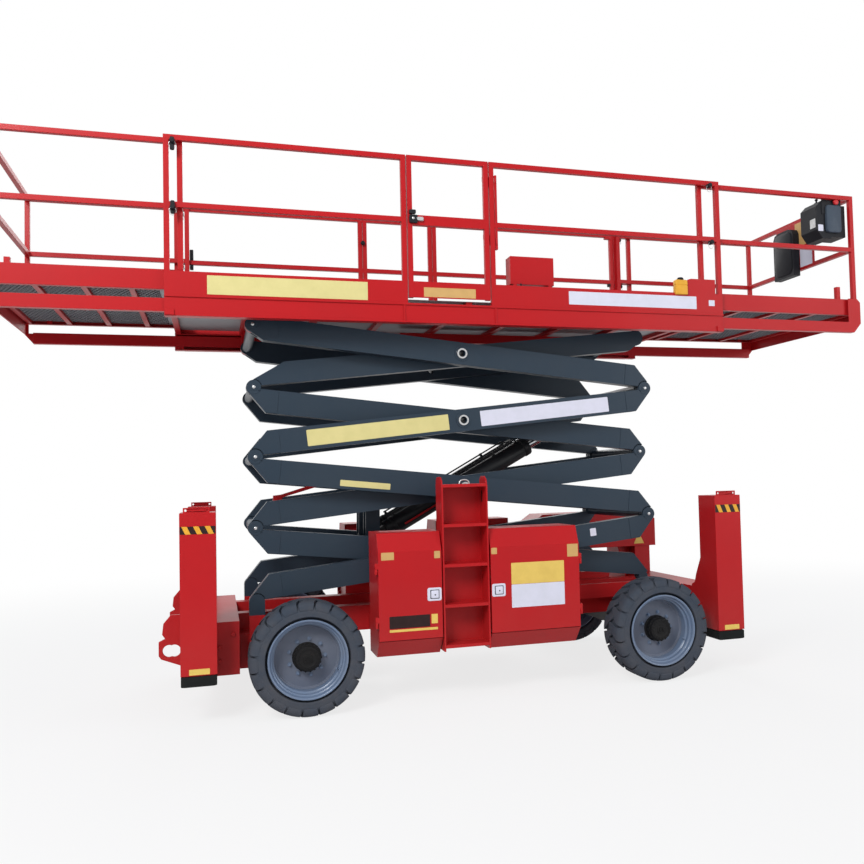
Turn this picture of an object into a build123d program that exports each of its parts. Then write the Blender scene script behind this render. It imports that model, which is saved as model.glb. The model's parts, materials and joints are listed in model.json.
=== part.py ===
"""Rough-terrain scissor lift, half raised, with both deck extensions run out.

Frame: millimetres, +X to the steered front axle, +Y to the machine's left, +Z up from the ground.
Every piece is modelled where it stands at rest. Sides are named as the driver sees them: right is -Y.
"""

from build123d import *
import os
from math import asin, cos, hypot, pi, radians, sin, sqrt, tan

os.makedirs("parts", exist_ok=True)

SIDES = (("right", -1), ("left", 1))

# ---------------------------------------------------------------- running gear
wheelbase = 2860
axle_mid_x = -35  # middle of the wheelbase from the middle of the run-out deck
rear_axle_x = axle_mid_x - wheelbase / 2
front_axle_x = axle_mid_x + wheelbase / 2
tyre_radius = 419
tyre_width = 305
wheel_y = 992.5  # tyre's middle plane
lug_height = 24
lug_count = 16  # on each shoulder
side_wall_radius = 345
rim_radius = 288
rim_wall = 14
bead_radius = 256
disc_y = 980
disc_wall = 16
hub_radius = 100
hub_out = 120
king_pin_y = 850
king_pin_radius = 24
axle_beam = 130  # side of the square axle beams
axle_reach = 740

# ---------------------------------------------------------------- chassis
rail_y = (300, 420)
rail_z = (490, 690)
chassis_x = (-2300, 2240)
end_beam_z = (300, 690)
rear_beam_x = (-2300, -1935)
front_beam_x = (1985, 2240)
end_beam_y = 838
lashing_hole = (-2408, 507)

# ---------------------------------------------------------------- scissor linkage
arm_span = 3368  # pin to pin
arm_depth = 185
arm_thick = 100
stack_pitch = 200  # height of one stage when the pack is closed
rest_rise = 552.6  # height of one stage at rest
stage_count = 4
top_pin_drop = 80  # the platform's pins sit this much nearer the arm's middle
outer_y = 630
inner_y = 495
ear_radius = 58
ear_gap = 5
ear_slice = 24
slice_gap = 1.5
pin_radius = 25
pin_fit = 0.5
tube_radius = 42
centre_pin_radius = 42
centre_bore = 28
centre_boss = 12
fixed_pin_x = -1800
base_pin_z = 803
roller_radius = 50
top_roller_radius = 70
top_roller_cover = 60  # the arm's edge above the roller's axis
top_foot_slope = 25  # degrees, so that the closed pack clears the platform's cross tube
roller_seat = 0.4
track_width = 46
low_track_x = (-330, 1650)
high_track_x = (-420, 1660)

# ---------------------------------------------------------------- lift cylinders
cylinder_y = 190
barrel_radius = 80
bore_radius = 50
rod_radius = 45
eye_radius = 60
eye_thick = 94
barrel_neck = 150  # from the base pin to the barrel
barrel_end = 1615  # gland face from the base pin
rod_length = 1514
piston_length = 60
lug_wall = 21
lug_gap = 3
eye_lug_reach = 450
base_share = 0.28  # of the arm's length
base_hang = 346
eye_share = 0.232

# ---------------------------------------------------------------- outriggers
column_width = 245
column_y = (850, 1120)
column_z = (370, 1507)
column_wall = 8
rear_column_x = -2339
front_column_x = 1922
leg_gap = 6
leg_top = 1480
leg_pad_height = 80
slide_fit = 0.3
bracket_wall = 12
foot_z = (297, 345)

# ---------------------------------------------------------------- housings, doors, ladder
housing_rear_x = (-944, -457)
housing_front_x = (-66, 672)
housing_y = (700, 1120)
housing_z = (370, 1304)
slant_z = 1165
slant_in = 60
foot_chamfer_z = 503
foot_chamfer_in = 120
sheet = 5
door_thick = 36
door_gap = 5
door_clear = 9  # behind the door, for its swing
door_back_y = 1050
hinge_out = 14  # hinge pin beyond the housing's end
hinge_y = 1106
hinge_z = (640, 1040)
knuckle_radius = 12
knuckle_length = 40
hinge_pin_radius = 6
housing_floor_z = 563
ladder_x = (-448, -80)
ladder_z = (390, 1719)
ladder_y = (935, 1125)
cheek_wall = 12
shelf_z = (437, 743, 1049, 1355, 1661)
hood_x = (940, 1900, 2290)  # rear end, step and front end
hood_y = (700, 840, 1100)
hood_z = (960, 1320)

# ---------------------------------------------------------------- platform
deck_x = (-2435, 2196)
deck_half = 915
beam_z = (2940, 3092)
beam_flange = 78
beam_wall = 8
cross_height = 38
floor_wall = 6
toe_top = 3272
rail_top = 4284
mid_rail_z = 3764
tube = 40
gate_x = (-624, 51)
gate_gap = 8
gate_low_z = 3142
gate_hinge_inset = 13
gate_hinge_z = (3608, 4088)
raised_toe = (1837, 2126, 3400)
extension_half = deck_half - 47
extension_end = 3675
extension_top = rail_top - 10
side_beam_z = (3142, 3290)
slide_beam_z = (2974, 3071)
slide_beam_y = (deck_half - 73, deck_half - 16)
slide_overlap = 600
end_plate = 12
wear_pad = 80
inner_post = {"rear": -2342, "front": 2008}
control_x = (3290, 3452, 3606)  # panel, its back, and the far side of the box behind it
papers_x = (extension_end - 136, extension_end - 58)
papers_y = (-105, 227)
tool_box_x = (255, 640)
tool_box_y = (700, 820)
tool_box_z = (3305, 3540)
tool_box_foot = 30
left_post_x = (-740, -695, -40, 5, 1950, 1995)  # between the end posts of the left side

# ---------------------------------------------------------------- worked out
rest_angle = asin(rest_rise / arm_span)
body_tilt = rest_angle - asin(stack_pitch / arm_span)
body_length = sqrt(arm_span**2 - stack_pitch**2)
far_pin_x = fixed_pin_x + arm_span * cos(rest_angle)
arm_low = (stack_pitch - arm_depth) / 2
arm_high = arm_low + arm_depth
lug_starts = (cylinder_y - eye_thick / 2 - lug_gap - lug_wall, cylinder_y + eye_thick / 2 + lug_gap)
floor_z = beam_z[1] + cross_height
cross_half = deck_half - tube - 5
gate_hinge_x = gate_x[1] + gate_gap / 2
gate_hinge_y = deck_half - tube - gate_hinge_inset


def save(piece, label):
    """Writes one finished piece as a STEP file of its own."""
    piece.label = label
    export_step(piece, f"parts/{label}.step")


def block(x, y, z, mode=Mode.ADD):
    """Adds a box from its three spans to the part being built."""
    with Locations(((x[0] + x[1]) / 2, (y[0] + y[1]) / 2, (z[0] + z[1]) / 2)):
        Box(abs(x[1] - x[0]), abs(y[1] - y[0]), abs(z[1] - z[0]), mode=mode)


def span(side, inner, outer):
    """The Y span of something between two distances from the middle, on one side."""
    return (side * inner, side * outer) if side > 0 else (side * outer, side * inner)


def bar_y(x, z, radius, y, mode=Mode.ADD):
    """Adds a round bar along Y."""
    with Locations(Location((x, (y[0] + y[1]) / 2, z), (90, 0, 0))):
        Cylinder(radius, y[1] - y[0], mode=mode)


def plate_y(points, y, mode=Mode.ADD):
    """Adds a plate in the XZ plane, from its corners, between two Y values."""
    with BuildSketch(Plane.XZ.offset(-y[1])) as outline:
        with BuildLine():
            Polyline(*points, close=True)
        make_face()
    extrude(outline.sketch, amount=y[1] - y[0], mode=mode)


def prism_x(points, x, mode=Mode.ADD):
    """Adds a prism along X, from its corners in the YZ plane."""
    with BuildSketch(Plane.YZ.offset(x[0])) as outline:
        with BuildLine():
            Polyline(*points, close=True)
        make_face()
    extrude(outline.sketch, amount=x[1] - x[0], mode=mode)


def hinge_pin(x, y, z, length):
    """Adds an upright hinge pin that stands on z."""
    with Locations((x, y, z + length / 2)):
        Cylinder(hinge_pin_radius, length)


def knuckle_disc(x, y, z, radius, length, mode=Mode.ADD):
    """Adds an upright round hinge knuckle that stands on z, or cuts its bore."""
    with Locations((x, y, z + length / 2)):
        Cylinder(radius, length, mode=mode)


# ================================================================ wheels
def facet_ring(sections, sides, mode=Mode.ADD):
    """Adds a ring of flat facets about Y, from the inscribed radius and Y value of each section."""
    outlines = []
    for radius, y in sections:
        with BuildSketch(Plane.XZ.offset(-y)) as section:
            RegularPolygon(radius / cos(pi / sides), sides)
        outlines.append(section.sketch.faces()[0])
    loft(sections=outlines, ruled=True, mode=mode)


# a lug's corners: distance out from the tyre's middle plane, and along the tread
lug_corners = [(-14, 10), (tyre_width / 2, -38), (tyre_width / 2, 4), (-14, 38)]


def tyre():
    """One off-road tyre about the origin: faceted tread with skewed shoulder lugs, and flat side walls."""
    half = tyre_width / 2
    tread = tyre_radius - lug_height
    sides = 2 * lug_count
    with BuildPart() as body:
        facet_ring([(side_wall_radius, -half), (tread, -half + 36), (tread, half - 36),
                    (side_wall_radius, half)], sides)
        lug_planes = []
        for side in (-1, 1):
            for index in range(lug_count):
                turn = radians(360 / lug_count * (index + (0.5 if side > 0 else 0)))
                seat = Plane(origin=(0, 0, 0), x_dir=(0, side, 0), z_dir=(sin(turn), 0, cos(turn)))
                lug_planes.append(seat.offset(tread - 40))
        with BuildSketch(*lug_planes):
            with BuildLine():
                Polyline(*lug_corners, close=True)
            make_face()
        extrude(amount=40 + lug_height)
        facet_ring([(rim_radius + 16, -half - 1), (bead_radius + 0.8, -half + 40),
                    (bead_radius + 0.8, half - 40), (rim_radius + 16, half + 1)], sides, Mode.SUBTRACT)
    return body.part


def rim(x, side):
    """Deep-dished steel rim with its disc, black hub boss and nut circle."""
    half = tyre_width / 2
    mid = side * wheel_y
    disc = side * disc_y
    with BuildPart() as body:
        with BuildSketch(Plane.XY.offset(tyre_radius)):
            with BuildLine():
                Polyline(
                    (x + bead_radius, mid - half + 40),
                    (x + bead_radius, mid + half - 40),
                    (x + rim_radius, mid + half - 10),
                    (x + rim_radius, mid + half - 2),
                    (x + bead_radius - rim_wall, mid + half - 34),
                    (x + bead_radius - rim_wall, mid - half + 34),
                    (x + rim_radius, mid - half + 2),
                    (x + rim_radius, mid - half + 10),
                    close=True,
                )
            make_face()
        revolve(axis=Axis((x, 0, tyre_radius), (0, 1, 0)))
        bar_y(x, tyre_radius, bead_radius - rim_wall + 2, (disc - disc_wall / 2, disc + disc_wall / 2))
        out = span(side, disc_y, disc_y + hub_out)
        bar_y(x, tyre_radius, hub_radius, out)
    return body.part


new_tyre = tyre()
for end, axle_x in (("rear", rear_axle_x), ("front", front_axle_x)):
    for name, side in SIDES:
        save(new_tyre.moved(Location((axle_x, side * wheel_y, tyre_radius))), f"tyre_{end}_{name}")
        save(rim(axle_x, side), f"rim_{end}_{name}")

# ================================================================ axles and knuckles
spindle_reach = disc_y - disc_wall / 2 - 0.5
beam_half = axle_beam / 2

with BuildPart() as rear_axle:
    block((rear_axle_x - beam_half, rear_axle_x + beam_half), (-axle_reach, axle_reach),
          (tyre_radius - beam_half, tyre_radius + beam_half))
    for name, side in SIDES:
        bar_y(rear_axle_x, tyre_radius, 90, span(side, axle_reach, spindle_reach))
save(rear_axle.part, "rear_axle")

yoke_half = 130
yoke_wall = 30
knuckle_half = yoke_half - yoke_wall - 2
with BuildPart() as front_axle:
    block((front_axle_x - beam_half, front_axle_x + beam_half), (-axle_reach, axle_reach),
          (tyre_radius - beam_half, tyre_radius + beam_half))
    for name, side in SIDES:
        block((front_axle_x - 50, front_axle_x + 50), span(side, axle_reach - 60, axle_reach + 20),
              (tyre_radius - yoke_half, tyre_radius + yoke_half))
        for low in (tyre_radius - yoke_half, tyre_radius + yoke_half - yoke_wall):
            block((front_axle_x - 50, front_axle_x + 50), span(side, axle_reach, king_pin_y),
                  (low, low + yoke_wall))
            with Locations((front_axle_x, side * king_pin_y, low + yoke_wall / 2)):
                Cylinder(50, yoke_wall)
                Cylinder(king_pin_radius + pin_fit, yoke_wall, mode=Mode.SUBTRACT)
save(front_axle.part, "front_axle")

for name, side in SIDES:
    with BuildPart() as knuckle:
        with Locations((front_axle_x, side * king_pin_y, tyre_radius)):
            Cylinder(46, 2 * knuckle_half)
            Cylinder(king_pin_radius, 2 * yoke_half + 10)
        bar_y(front_axle_x, tyre_radius, 60, span(side, king_pin_y, spindle_reach))
    save(knuckle.part, f"knuckle_{name}")

# ================================================================ chassis frame
with BuildPart() as chassis_frame:
    for name, side in SIDES:
        block((rear_beam_x[1], front_beam_x[0]), span(side, *rail_y), rail_z)
        # fixed pin lugs: a fork on each side of the lowest outer arm's eye
        for low in (outer_y - arm_thick / 2, outer_y + arm_thick / 2 - ear_slice):
            lug = span(side, low, low + ear_slice)
            block((fixed_pin_x - ear_radius, fixed_pin_x + ear_radius), lug, (end_beam_z[0], base_pin_z))
            bar_y(fixed_pin_x, base_pin_z, ear_radius, lug)
        bar_y(fixed_pin_x, base_pin_z, pin_radius,
              span(side, outer_y - arm_thick / 2, outer_y + arm_thick / 2))
        # roller track of the lowest inner arm
        track = span(side, inner_y - track_width / 2, inner_y + track_width / 2)
        block(low_track_x, track, (rail_z[1] - 60, base_pin_z - roller_radius - roller_seat))
        block(low_track_x, span(side, rail_y[0], inner_y), (rail_z[1] - 60, rail_z[1]))
    block((fixed_pin_x - ear_radius, fixed_pin_x + ear_radius),
          (-outer_y - arm_thick / 2, outer_y + arm_thick / 2), (end_beam_z[0], 560))
    block((rear_beam_x[1], fixed_pin_x), (-outer_y, outer_y), (end_beam_z[0], 560))
    # cross members that carry the axles and the housings
    for cross_x, reach in ((rear_axle_x, rail_y[0]), (-850, housing_y[0]), (-300, housing_y[0]),
                           (300, housing_y[0]), (760, rail_y[0]), (front_axle_x, rail_y[0])):
        block((cross_x - 60, cross_x + 60), (-reach, reach), (500, 620))
    # axle saddles
    for axle_x in (rear_axle_x, front_axle_x):
        block((axle_x - 100, axle_x + 100), (-rail_y[1], rail_y[1]), (tyre_radius + beam_half, rail_z[0]))
save(chassis_frame.part, "chassis_frame")

# end beams across the frame, the outriggers bolt to their ends
lashing_lug = [(-2300, 765), (-2413, 765), (-2464, 704), (-2473, 627), (-2452, 596),
               (-2497, 574), (-2497, 475), (-2480, 450), (-2351, 398), (-2300, 398)]
with BuildPart() as end_beam_rear:
    block(rear_beam_x, (-end_beam_y, end_beam_y), end_beam_z)
    for name, side in SIDES:
        lug = span(side, 800, 828)
        plate_y(lashing_lug, lug)
        block((rear_beam_x[0], rear_beam_x[0] + 90), lug, (end_beam_z[1], 765))
        for hole_x in (lashing_hole[0] - 18, lashing_hole[0] + 18):
            bar_y(hole_x, lashing_hole[1], 44, lug, mode=Mode.SUBTRACT)
save(end_beam_rear.part, "end_beam_rear")

with BuildPart() as end_beam_front:
    block(front_beam_x, (-end_beam_y, end_beam_y), end_beam_z)
save(end_beam_front.part, "end_beam_front")

# ================================================================ outriggers
gusset_top = [(850, 965), (765, 812), (740, 745)]
gusset_foot = {"rear": [(700, 728), (700, 690), (850, 690)],
               "front": [(685, 720), (685, 300), (850, 300)]}
for end, column_x in (("rear", rear_column_x), ("front", front_column_x)):
    for name, side in SIDES:
        outside_x = (column_x, column_x + column_width)
        inside_x = (column_x + column_wall, column_x + column_width - column_wall)
        inside_y = (column_y[0] + column_wall, column_y[1] - column_wall)
        leg_x = (inside_x[0] + leg_gap, inside_x[1] - leg_gap)
        leg_y = (inside_y[0] + leg_gap, inside_y[1] - leg_gap)
        with BuildPart() as column:
            block(outside_x, span(side, *column_y), column_z)
            block(inside_x, span(side, *inside_y),
                  (column_z[0] + leg_pad_height, column_z[1] - column_wall), mode=Mode.SUBTRACT)
            # the leg is guided in the foot of the column
            block((leg_x[0] - slide_fit, leg_x[1] + slide_fit),
                  span(side, leg_y[0] - slide_fit, leg_y[1] + slide_fit),
                  (column_z[0], column_z[0] + leg_pad_height), mode=Mode.SUBTRACT)
            block(outside_x, span(side, end_beam_y, column_y[0]), end_beam_z)
            # lifting tab with its two holes, on the roof of the column
            tab = span(side, column_y[1] - 20, column_y[1] - 8)
            block((column_x + 25, column_x + column_width - 40), tab, (column_z[1], column_z[1] + 37))
            for hole_x in (column_x + 42, column_x + column_width - 57):
                bar_y(hole_x, column_z[1] + 18, 8, tab, mode=Mode.SUBTRACT)
            # gusset plate on the face towards the wheels
            near_x = outside_x[1] if end == "rear" else outside_x[0] + bracket_wall
            gusset = [(side * y, z) for y, z in gusset_top + gusset_foot[end]]
            prism_x(gusset, (near_x - bracket_wall, near_x))
        save(column.part, f"outrigger_column_{end}_{name}")
        with BuildPart() as leg:
            block(leg_x, span(side, *leg_y), (foot_z[1] - 10, leg_top))
            block((leg_x[0] - 10, leg_x[1] + 10), span(side, leg_y[0] - 10, leg_y[1] + 10), foot_z)
        save(leg.part, f"outrigger_leg_{end}_{name}")

# ================================================================ housings and doors
housing_face = housing_y[1] - door_thick - door_clear
housing_step = door_back_y - door_clear
door_face = housing_y[1] - door_thick
# sections as distances out from the middle and heights
door_section = [(housing_y[1], foot_chamfer_z), (housing_y[1], slant_z),
                (housing_y[1] - slant_in, housing_z[1]), (door_back_y, housing_z[1]),
                (door_back_y, 1236), (door_face, 1157.5), (door_face, foot_chamfer_z)]
housing_section = [(housing_y[0], housing_z[0]), (housing_y[1] - foot_chamfer_in, housing_z[0]),
                   (1115.5, foot_chamfer_z - door_gap), (housing_face, foot_chamfer_z - door_gap),
                   (housing_face, 1155.5), (housing_step, 1234.5), (housing_step, housing_z[1]),
                   (housing_y[0], housing_z[1])]
for end, house_x, way in (("rear", housing_rear_x, -1), ("front", housing_front_x, 1)):
    edge_x = house_x[0] if way < 0 else house_x[1]
    pin_x = edge_x + way * hinge_out
    for name, side in SIDES:
        pin_y = side * hinge_y
        with BuildPart() as housing:
            prism_x([(side * y, z) for y, z in housing_section], house_x)
            block((house_x[0] + sheet, house_x[1] - sheet), span(side, housing_y[0] + sheet, housing_y[1]),
                  (housing_floor_z, slant_z - 25), mode=Mode.SUBTRACT)
            for seam_z in hinge_z:
                lug_z = (seam_z - knuckle_length, seam_z - 0.5)
                block((edge_x - way * 12, pin_x + way * 10),
                      span(side, housing_face - 15, housing_face), lug_z)
                block((pin_x - 10, pin_x + 10), span(side, housing_face - 15, hinge_y), lug_z)
                knuckle_disc(pin_x, pin_y, lug_z[0], knuckle_radius, knuckle_length - 0.5)
                hinge_pin(pin_x, pin_y, lug_z[0], 2 * knuckle_length + 4)
        save(housing.part, f"housing_{end}_{name}")
        with BuildPart() as door:
            prism_x([(side * y, z) for y, z in door_section], house_x)
            for seam_z in hinge_z:
                block((pin_x, edge_x - way * 4), span(side, hinge_y - 4, housing_y[1]),
                      (seam_z, seam_z + knuckle_length))
                knuckle_disc(pin_x, pin_y, seam_z, knuckle_radius, knuckle_length)
                knuckle_disc(pin_x, pin_y, seam_z, hinge_pin_radius + pin_fit, knuckle_length,
                             Mode.SUBTRACT)
        save(door.part, f"door_{end}_{name}")

with BuildPart() as engine_block:
    block((housing_front_x[0] + 126, housing_front_x[1] - 112), (housing_y[0] + 40, housing_y[1] - 120),
          (housing_floor_z, slant_z - 85))
save(engine_block.part, "engine_block")

# ================================================================ ladder
cheek_low, cheek_high = ladder_z
cheek = [(935, cheek_low), (1125, cheek_low), (1125, 1640), (1106, 1692), (1060, cheek_high),
         (975, cheek_high), (940, 1690), (935, 1640)]
with BuildPart() as ladder:
    block(ladder_x, span(-1, ladder_y[0], ladder_y[0] + 6), (ladder_z[0], shelf_z[-1]))
    for wall_x in ((ladder_x[0], ladder_x[0] + cheek_wall), (ladder_x[1] - cheek_wall, ladder_x[1])):
        prism_x([(-y, z) for y, z in cheek], wall_x)
    for top_z in shelf_z:
        block(ladder_x, span(-1, ladder_y[0], ladder_y[1] - 4), (top_z - 6, top_z))
        block(ladder_x, span(-1, ladder_y[1] - 10, ladder_y[1] - 4), (top_z - 24, top_z))
    block((ladder_x[0] + 5, ladder_x[1] - 5), span(-1, housing_y[0], ladder_y[0]), (500, 560))
save(ladder.part, "ladder")

# ================================================================ front hood on the left
with BuildPart() as front_hood:
    plate_y([(hood_x[0], hood_z[0]), (hood_x[0], hood_z[1] - 70), (hood_x[0] + 100, hood_z[1]),
             (hood_x[1] + 5, hood_z[1]), (hood_x[1] + 5, hood_z[0])], (hood_y[0], hood_y[2]))
    plate_y([(hood_x[1], hood_z[0]), (hood_x[1], hood_z[1]), (hood_x[2] - 90, hood_z[1]),
             (hood_x[2], hood_z[1] - 80), (hood_x[2], hood_z[0])], (hood_y[0], hood_y[1]))
    block((front_beam_x[0] + 75, front_beam_x[1] - 10), (hood_y[0] + 20, hood_y[1] - 10),
          (end_beam_z[1], hood_z[0] + 5))
save(front_hood.part, "front_hood")

# ================================================================ scissor arms
def arm_plane(level, from_fixed_side):
    """The plane of an arm: origin at its lower pin, X along the body, Y across its depth."""
    z = base_pin_z + level * rest_rise
    if from_fixed_side:
        return Plane(origin=(fixed_pin_x, 0, z), z_dir=(0, -1, 0),
                     x_dir=(cos(body_tilt), 0, sin(body_tilt)))
    return Plane(origin=(far_pin_x, 0, z), z_dir=(0, 1, 0), x_dir=(-cos(body_tilt), 0, sin(body_tilt)))


def arm_disc(plane, u, v, radius, y, mode=Mode.ADD):
    """Adds a disc or bar along Y at a point of the arm's own plane."""
    centre = plane.from_local_coords(Vector(u, v, 0))
    bar_y(centre.X, centre.Z, radius, y, mode)


def arm_plate(plane, points, y, mode=Mode.ADD):
    """Adds a plate drawn in the arm's own plane."""
    world = [plane.from_local_coords(Vector(u, v, 0)) for u, v in points]
    plate_y([(p.X, p.Z) for p in world], y, mode)


def arm_pair(level, from_fixed_side, middle_y, bored_centre):
    """A right and a left arm joined by the cross tube at their upper pins."""
    plane = arm_plane(level, from_fixed_side)
    top = level == stage_count - 1
    tip_v = stack_pitch - (top_pin_drop if top else 0)
    low_roller = level == 0 and not from_fixed_side
    high_roller = top and from_fixed_side
    bevel = ear_radius / sqrt(2)
    run = arm_high - bevel
    high = tip_v + top_roller_cover if high_roller else arm_high
    foot_slope = radians(top_foot_slope if high_roller else 45)
    outline = [(0, arm_low), (-bevel, bevel), ((high - bevel) / tan(foot_slope) - bevel, high)]
    if top:
        outline += [(body_length - 20, high), (body_length + bevel, tip_v + bevel),
                    (body_length + bevel, tip_v - bevel), (body_length - 90, arm_low)]
    else:
        outline += [(body_length, high), (body_length + bevel, stack_pitch - bevel),
                    (body_length + bevel - run, arm_low)]
    with BuildPart() as pair:
        for name, side in SIDES:
            near_y, far_y = middle_y - arm_thick / 2, middle_y + arm_thick / 2
            full = span(side, near_y, far_y)
            inner_slice = span(side, near_y, near_y + ear_slice + slice_gap)
            outer_slice = span(side, far_y - ear_slice - slice_gap, far_y)
            slot = span(side, near_y + ear_slice, far_y - ear_slice)
            arm_plate(plane, outline, full)
            arm_disc(plane, 0, 0, ear_radius if not low_roller else roller_radius - 8, full)
            arm_disc(plane, body_length, tip_v, ear_radius, full)
            # lower end: a tongue between the ears of the arm below, or a roller
            if low_roller:
                arm_disc(plane, 0, 0, roller_radius, slot)
            else:
                for part_slice in (inner_slice, outer_slice):
                    arm_disc(plane, 0, 0, ear_radius + ear_gap, part_slice, Mode.SUBTRACT)
                arm_disc(plane, 0, 0, pin_radius + pin_fit, full, Mode.SUBTRACT)
            # upper end: a fork with its pin, or a roller
            if high_roller:
                arm_disc(plane, body_length, tip_v, top_roller_radius, slot)
            else:
                cut = ear_radius + ear_gap if not top else 100
                arm_disc(plane, body_length, tip_v, cut, slot, Mode.SUBTRACT)
                arm_disc(plane, body_length, tip_v, pin_radius, full)
            # centre pin
            middle = (body_length / 2, stack_pitch / 2)
            if bored_centre:
                arm_disc(plane, *middle, centre_pin_radius + pin_fit, full, Mode.SUBTRACT)
        arm_disc(plane, body_length, tip_v, tube_radius,
                 (-middle_y + arm_thick / 2 - 1, middle_y - arm_thick / 2 + 1))
        if not bored_centre:
            for name, side in SIDES:
                reach = span(side, inner_y - arm_thick / 2, outer_y + arm_thick / 2 + centre_boss)
                arm_disc(plane, *middle, centre_pin_radius, reach)
                arm_disc(plane, *middle, centre_bore, reach, Mode.SUBTRACT)
        if level == 1 and bored_centre:
            hang = (base_share * body_length, stack_pitch / 2 - base_hang)
            seat = (hang[0] + 40, stack_pitch / 2 - 20)
            arm_disc(plane, *seat, tube_radius, (-inner_y + arm_thick / 2 - 1, inner_y - arm_thick / 2 + 1))
            for name, side in SIDES:
                for low in lug_starts:
                    lug = span(side, low, low + lug_wall)
                    arm_plate(plane, [(hang[0] - eye_radius, hang[1]), (hang[0] + eye_radius, hang[1]),
                                      (seat[0] + 60, seat[1]), (seat[0] - 60, seat[1])], lug)
                    arm_disc(plane, *hang, eye_radius, lug)
                    arm_disc(plane, *hang, pin_radius + pin_fit, lug, Mode.SUBTRACT)
        if level == 2 and bored_centre:
            eye = (eye_share * body_length, stack_pitch / 2)
            seat = (eye[0] - eye_lug_reach, stack_pitch / 2 + 30)
            arm_disc(plane, *seat, tube_radius, (-inner_y + arm_thick / 2 - 1, inner_y - arm_thick / 2 + 1))
            for name, side in SIDES:
                for low in lug_starts:
                    lug = span(side, low, low + lug_wall)
                    arm_plate(plane, [(eye[0], eye[1] - eye_radius), (eye[0], eye[1] + eye_radius),
                                      (seat[0], seat[1] + 40), (seat[0], seat[1] - 40)], lug)
                    arm_disc(plane, *eye, eye_radius, lug)
    return pair.part


# stages count from the bottom; outer arms and inner arms cross in each
for stage in range(stage_count):
    outer_from_fixed = stage % 2 == 0
    save(arm_pair(stage, outer_from_fixed, outer_y, False), f"outer_arms_{stage + 1}")
    save(arm_pair(stage, not outer_from_fixed, inner_y, True), f"inner_arms_{stage + 1}")

# ================================================================ lift cylinders
base_plane = arm_plane(1, True)
eye_plane = arm_plane(2, False)
base_point = base_plane.from_local_coords(
    Vector(base_share * body_length, stack_pitch / 2 - base_hang, 0))
eye_point = eye_plane.from_local_coords(Vector(eye_share * body_length, stack_pitch / 2, 0))
lift_run = eye_point - base_point
lift_length = hypot(lift_run.X, lift_run.Z)
lift_dir = (lift_run.X / lift_length, 0, lift_run.Z / lift_length)


def lift_axis(side):
    """A plane whose normal runs up the cylinder's axis from its base pin."""
    return Plane(origin=(base_point.X, side * cylinder_y, base_point.Z), x_dir=(0, 1, 0), z_dir=lift_dir)


with BuildPart() as lift_barrels:
    for name, side in SIDES:
        axis = lift_axis(side)
        with BuildSketch(axis.offset(barrel_neck)):
            Circle(barrel_radius)
        extrude(amount=barrel_end - barrel_neck)
        with BuildSketch(axis.offset(barrel_neck + 10)):
            Circle(bore_radius)
        extrude(amount=barrel_end, mode=Mode.SUBTRACT)
        with BuildSketch(axis):
            Rectangle(eye_thick, 2 * eye_radius - 20)
        extrude(amount=barrel_neck + 5)
        bar_y(base_point.X, base_point.Z, eye_radius,
              span(side, cylinder_y - eye_thick / 2, cylinder_y + eye_thick / 2))
    bar_y(base_point.X, base_point.Z, pin_radius,
          (-cylinder_y - eye_thick / 2 - 30, cylinder_y + eye_thick / 2 + 30))
save(lift_barrels.part, "lift_barrels")

with BuildPart() as lift_rods:
    for name, side in SIDES:
        axis = lift_axis(side)
        with BuildSketch(axis.offset(lift_length - rod_length)):
            Circle(rod_radius)
        extrude(amount=rod_length - 20)
        with BuildSketch(axis.offset(lift_length - rod_length)):
            Circle(bore_radius - pin_fit)
        extrude(amount=piston_length)
        bar_y(eye_point.X, eye_point.Z, eye_radius - 5,
              span(side, cylinder_y - eye_thick / 2, cylinder_y + eye_thick / 2))
save(lift_rods.part, "lift_rods")

# red safety prop that lies on the second inner arms
with BuildPart() as safety_prop:
    prop = [(200, 215), (205, 190), (640, 265), (635, 295)]
    arm_plate(base_plane, prop, (-60, -20))
    arm_plate(base_plane, [(170, 120), (260, 120), (260, 225), (190, 225)], (-60, -20))
    bar_start = base_plane.from_local_coords(Vector(215, 140, 0))
    bar_y(bar_start.X, bar_start.Z, 22, (-inner_y + arm_thick / 2 + 0.3, inner_y - arm_thick / 2 - 0.3))
save(safety_prop.part, "safety_prop")

# ================================================================ platform frame and floor
top_level_z = base_pin_z + (stage_count - 1) * rest_rise
top_rise = body_length * sin(body_tilt) + (stack_pitch - top_pin_drop) * cos(body_tilt)
top_shift = body_length * cos(body_tilt) - (stack_pitch - top_pin_drop) * sin(body_tilt)
platform_pin_z = top_level_z + top_rise
platform_pin_x = far_pin_x - top_shift
roller_pin_x = fixed_pin_x + top_shift
track_z = platform_pin_z + top_roller_radius + roller_seat

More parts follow.
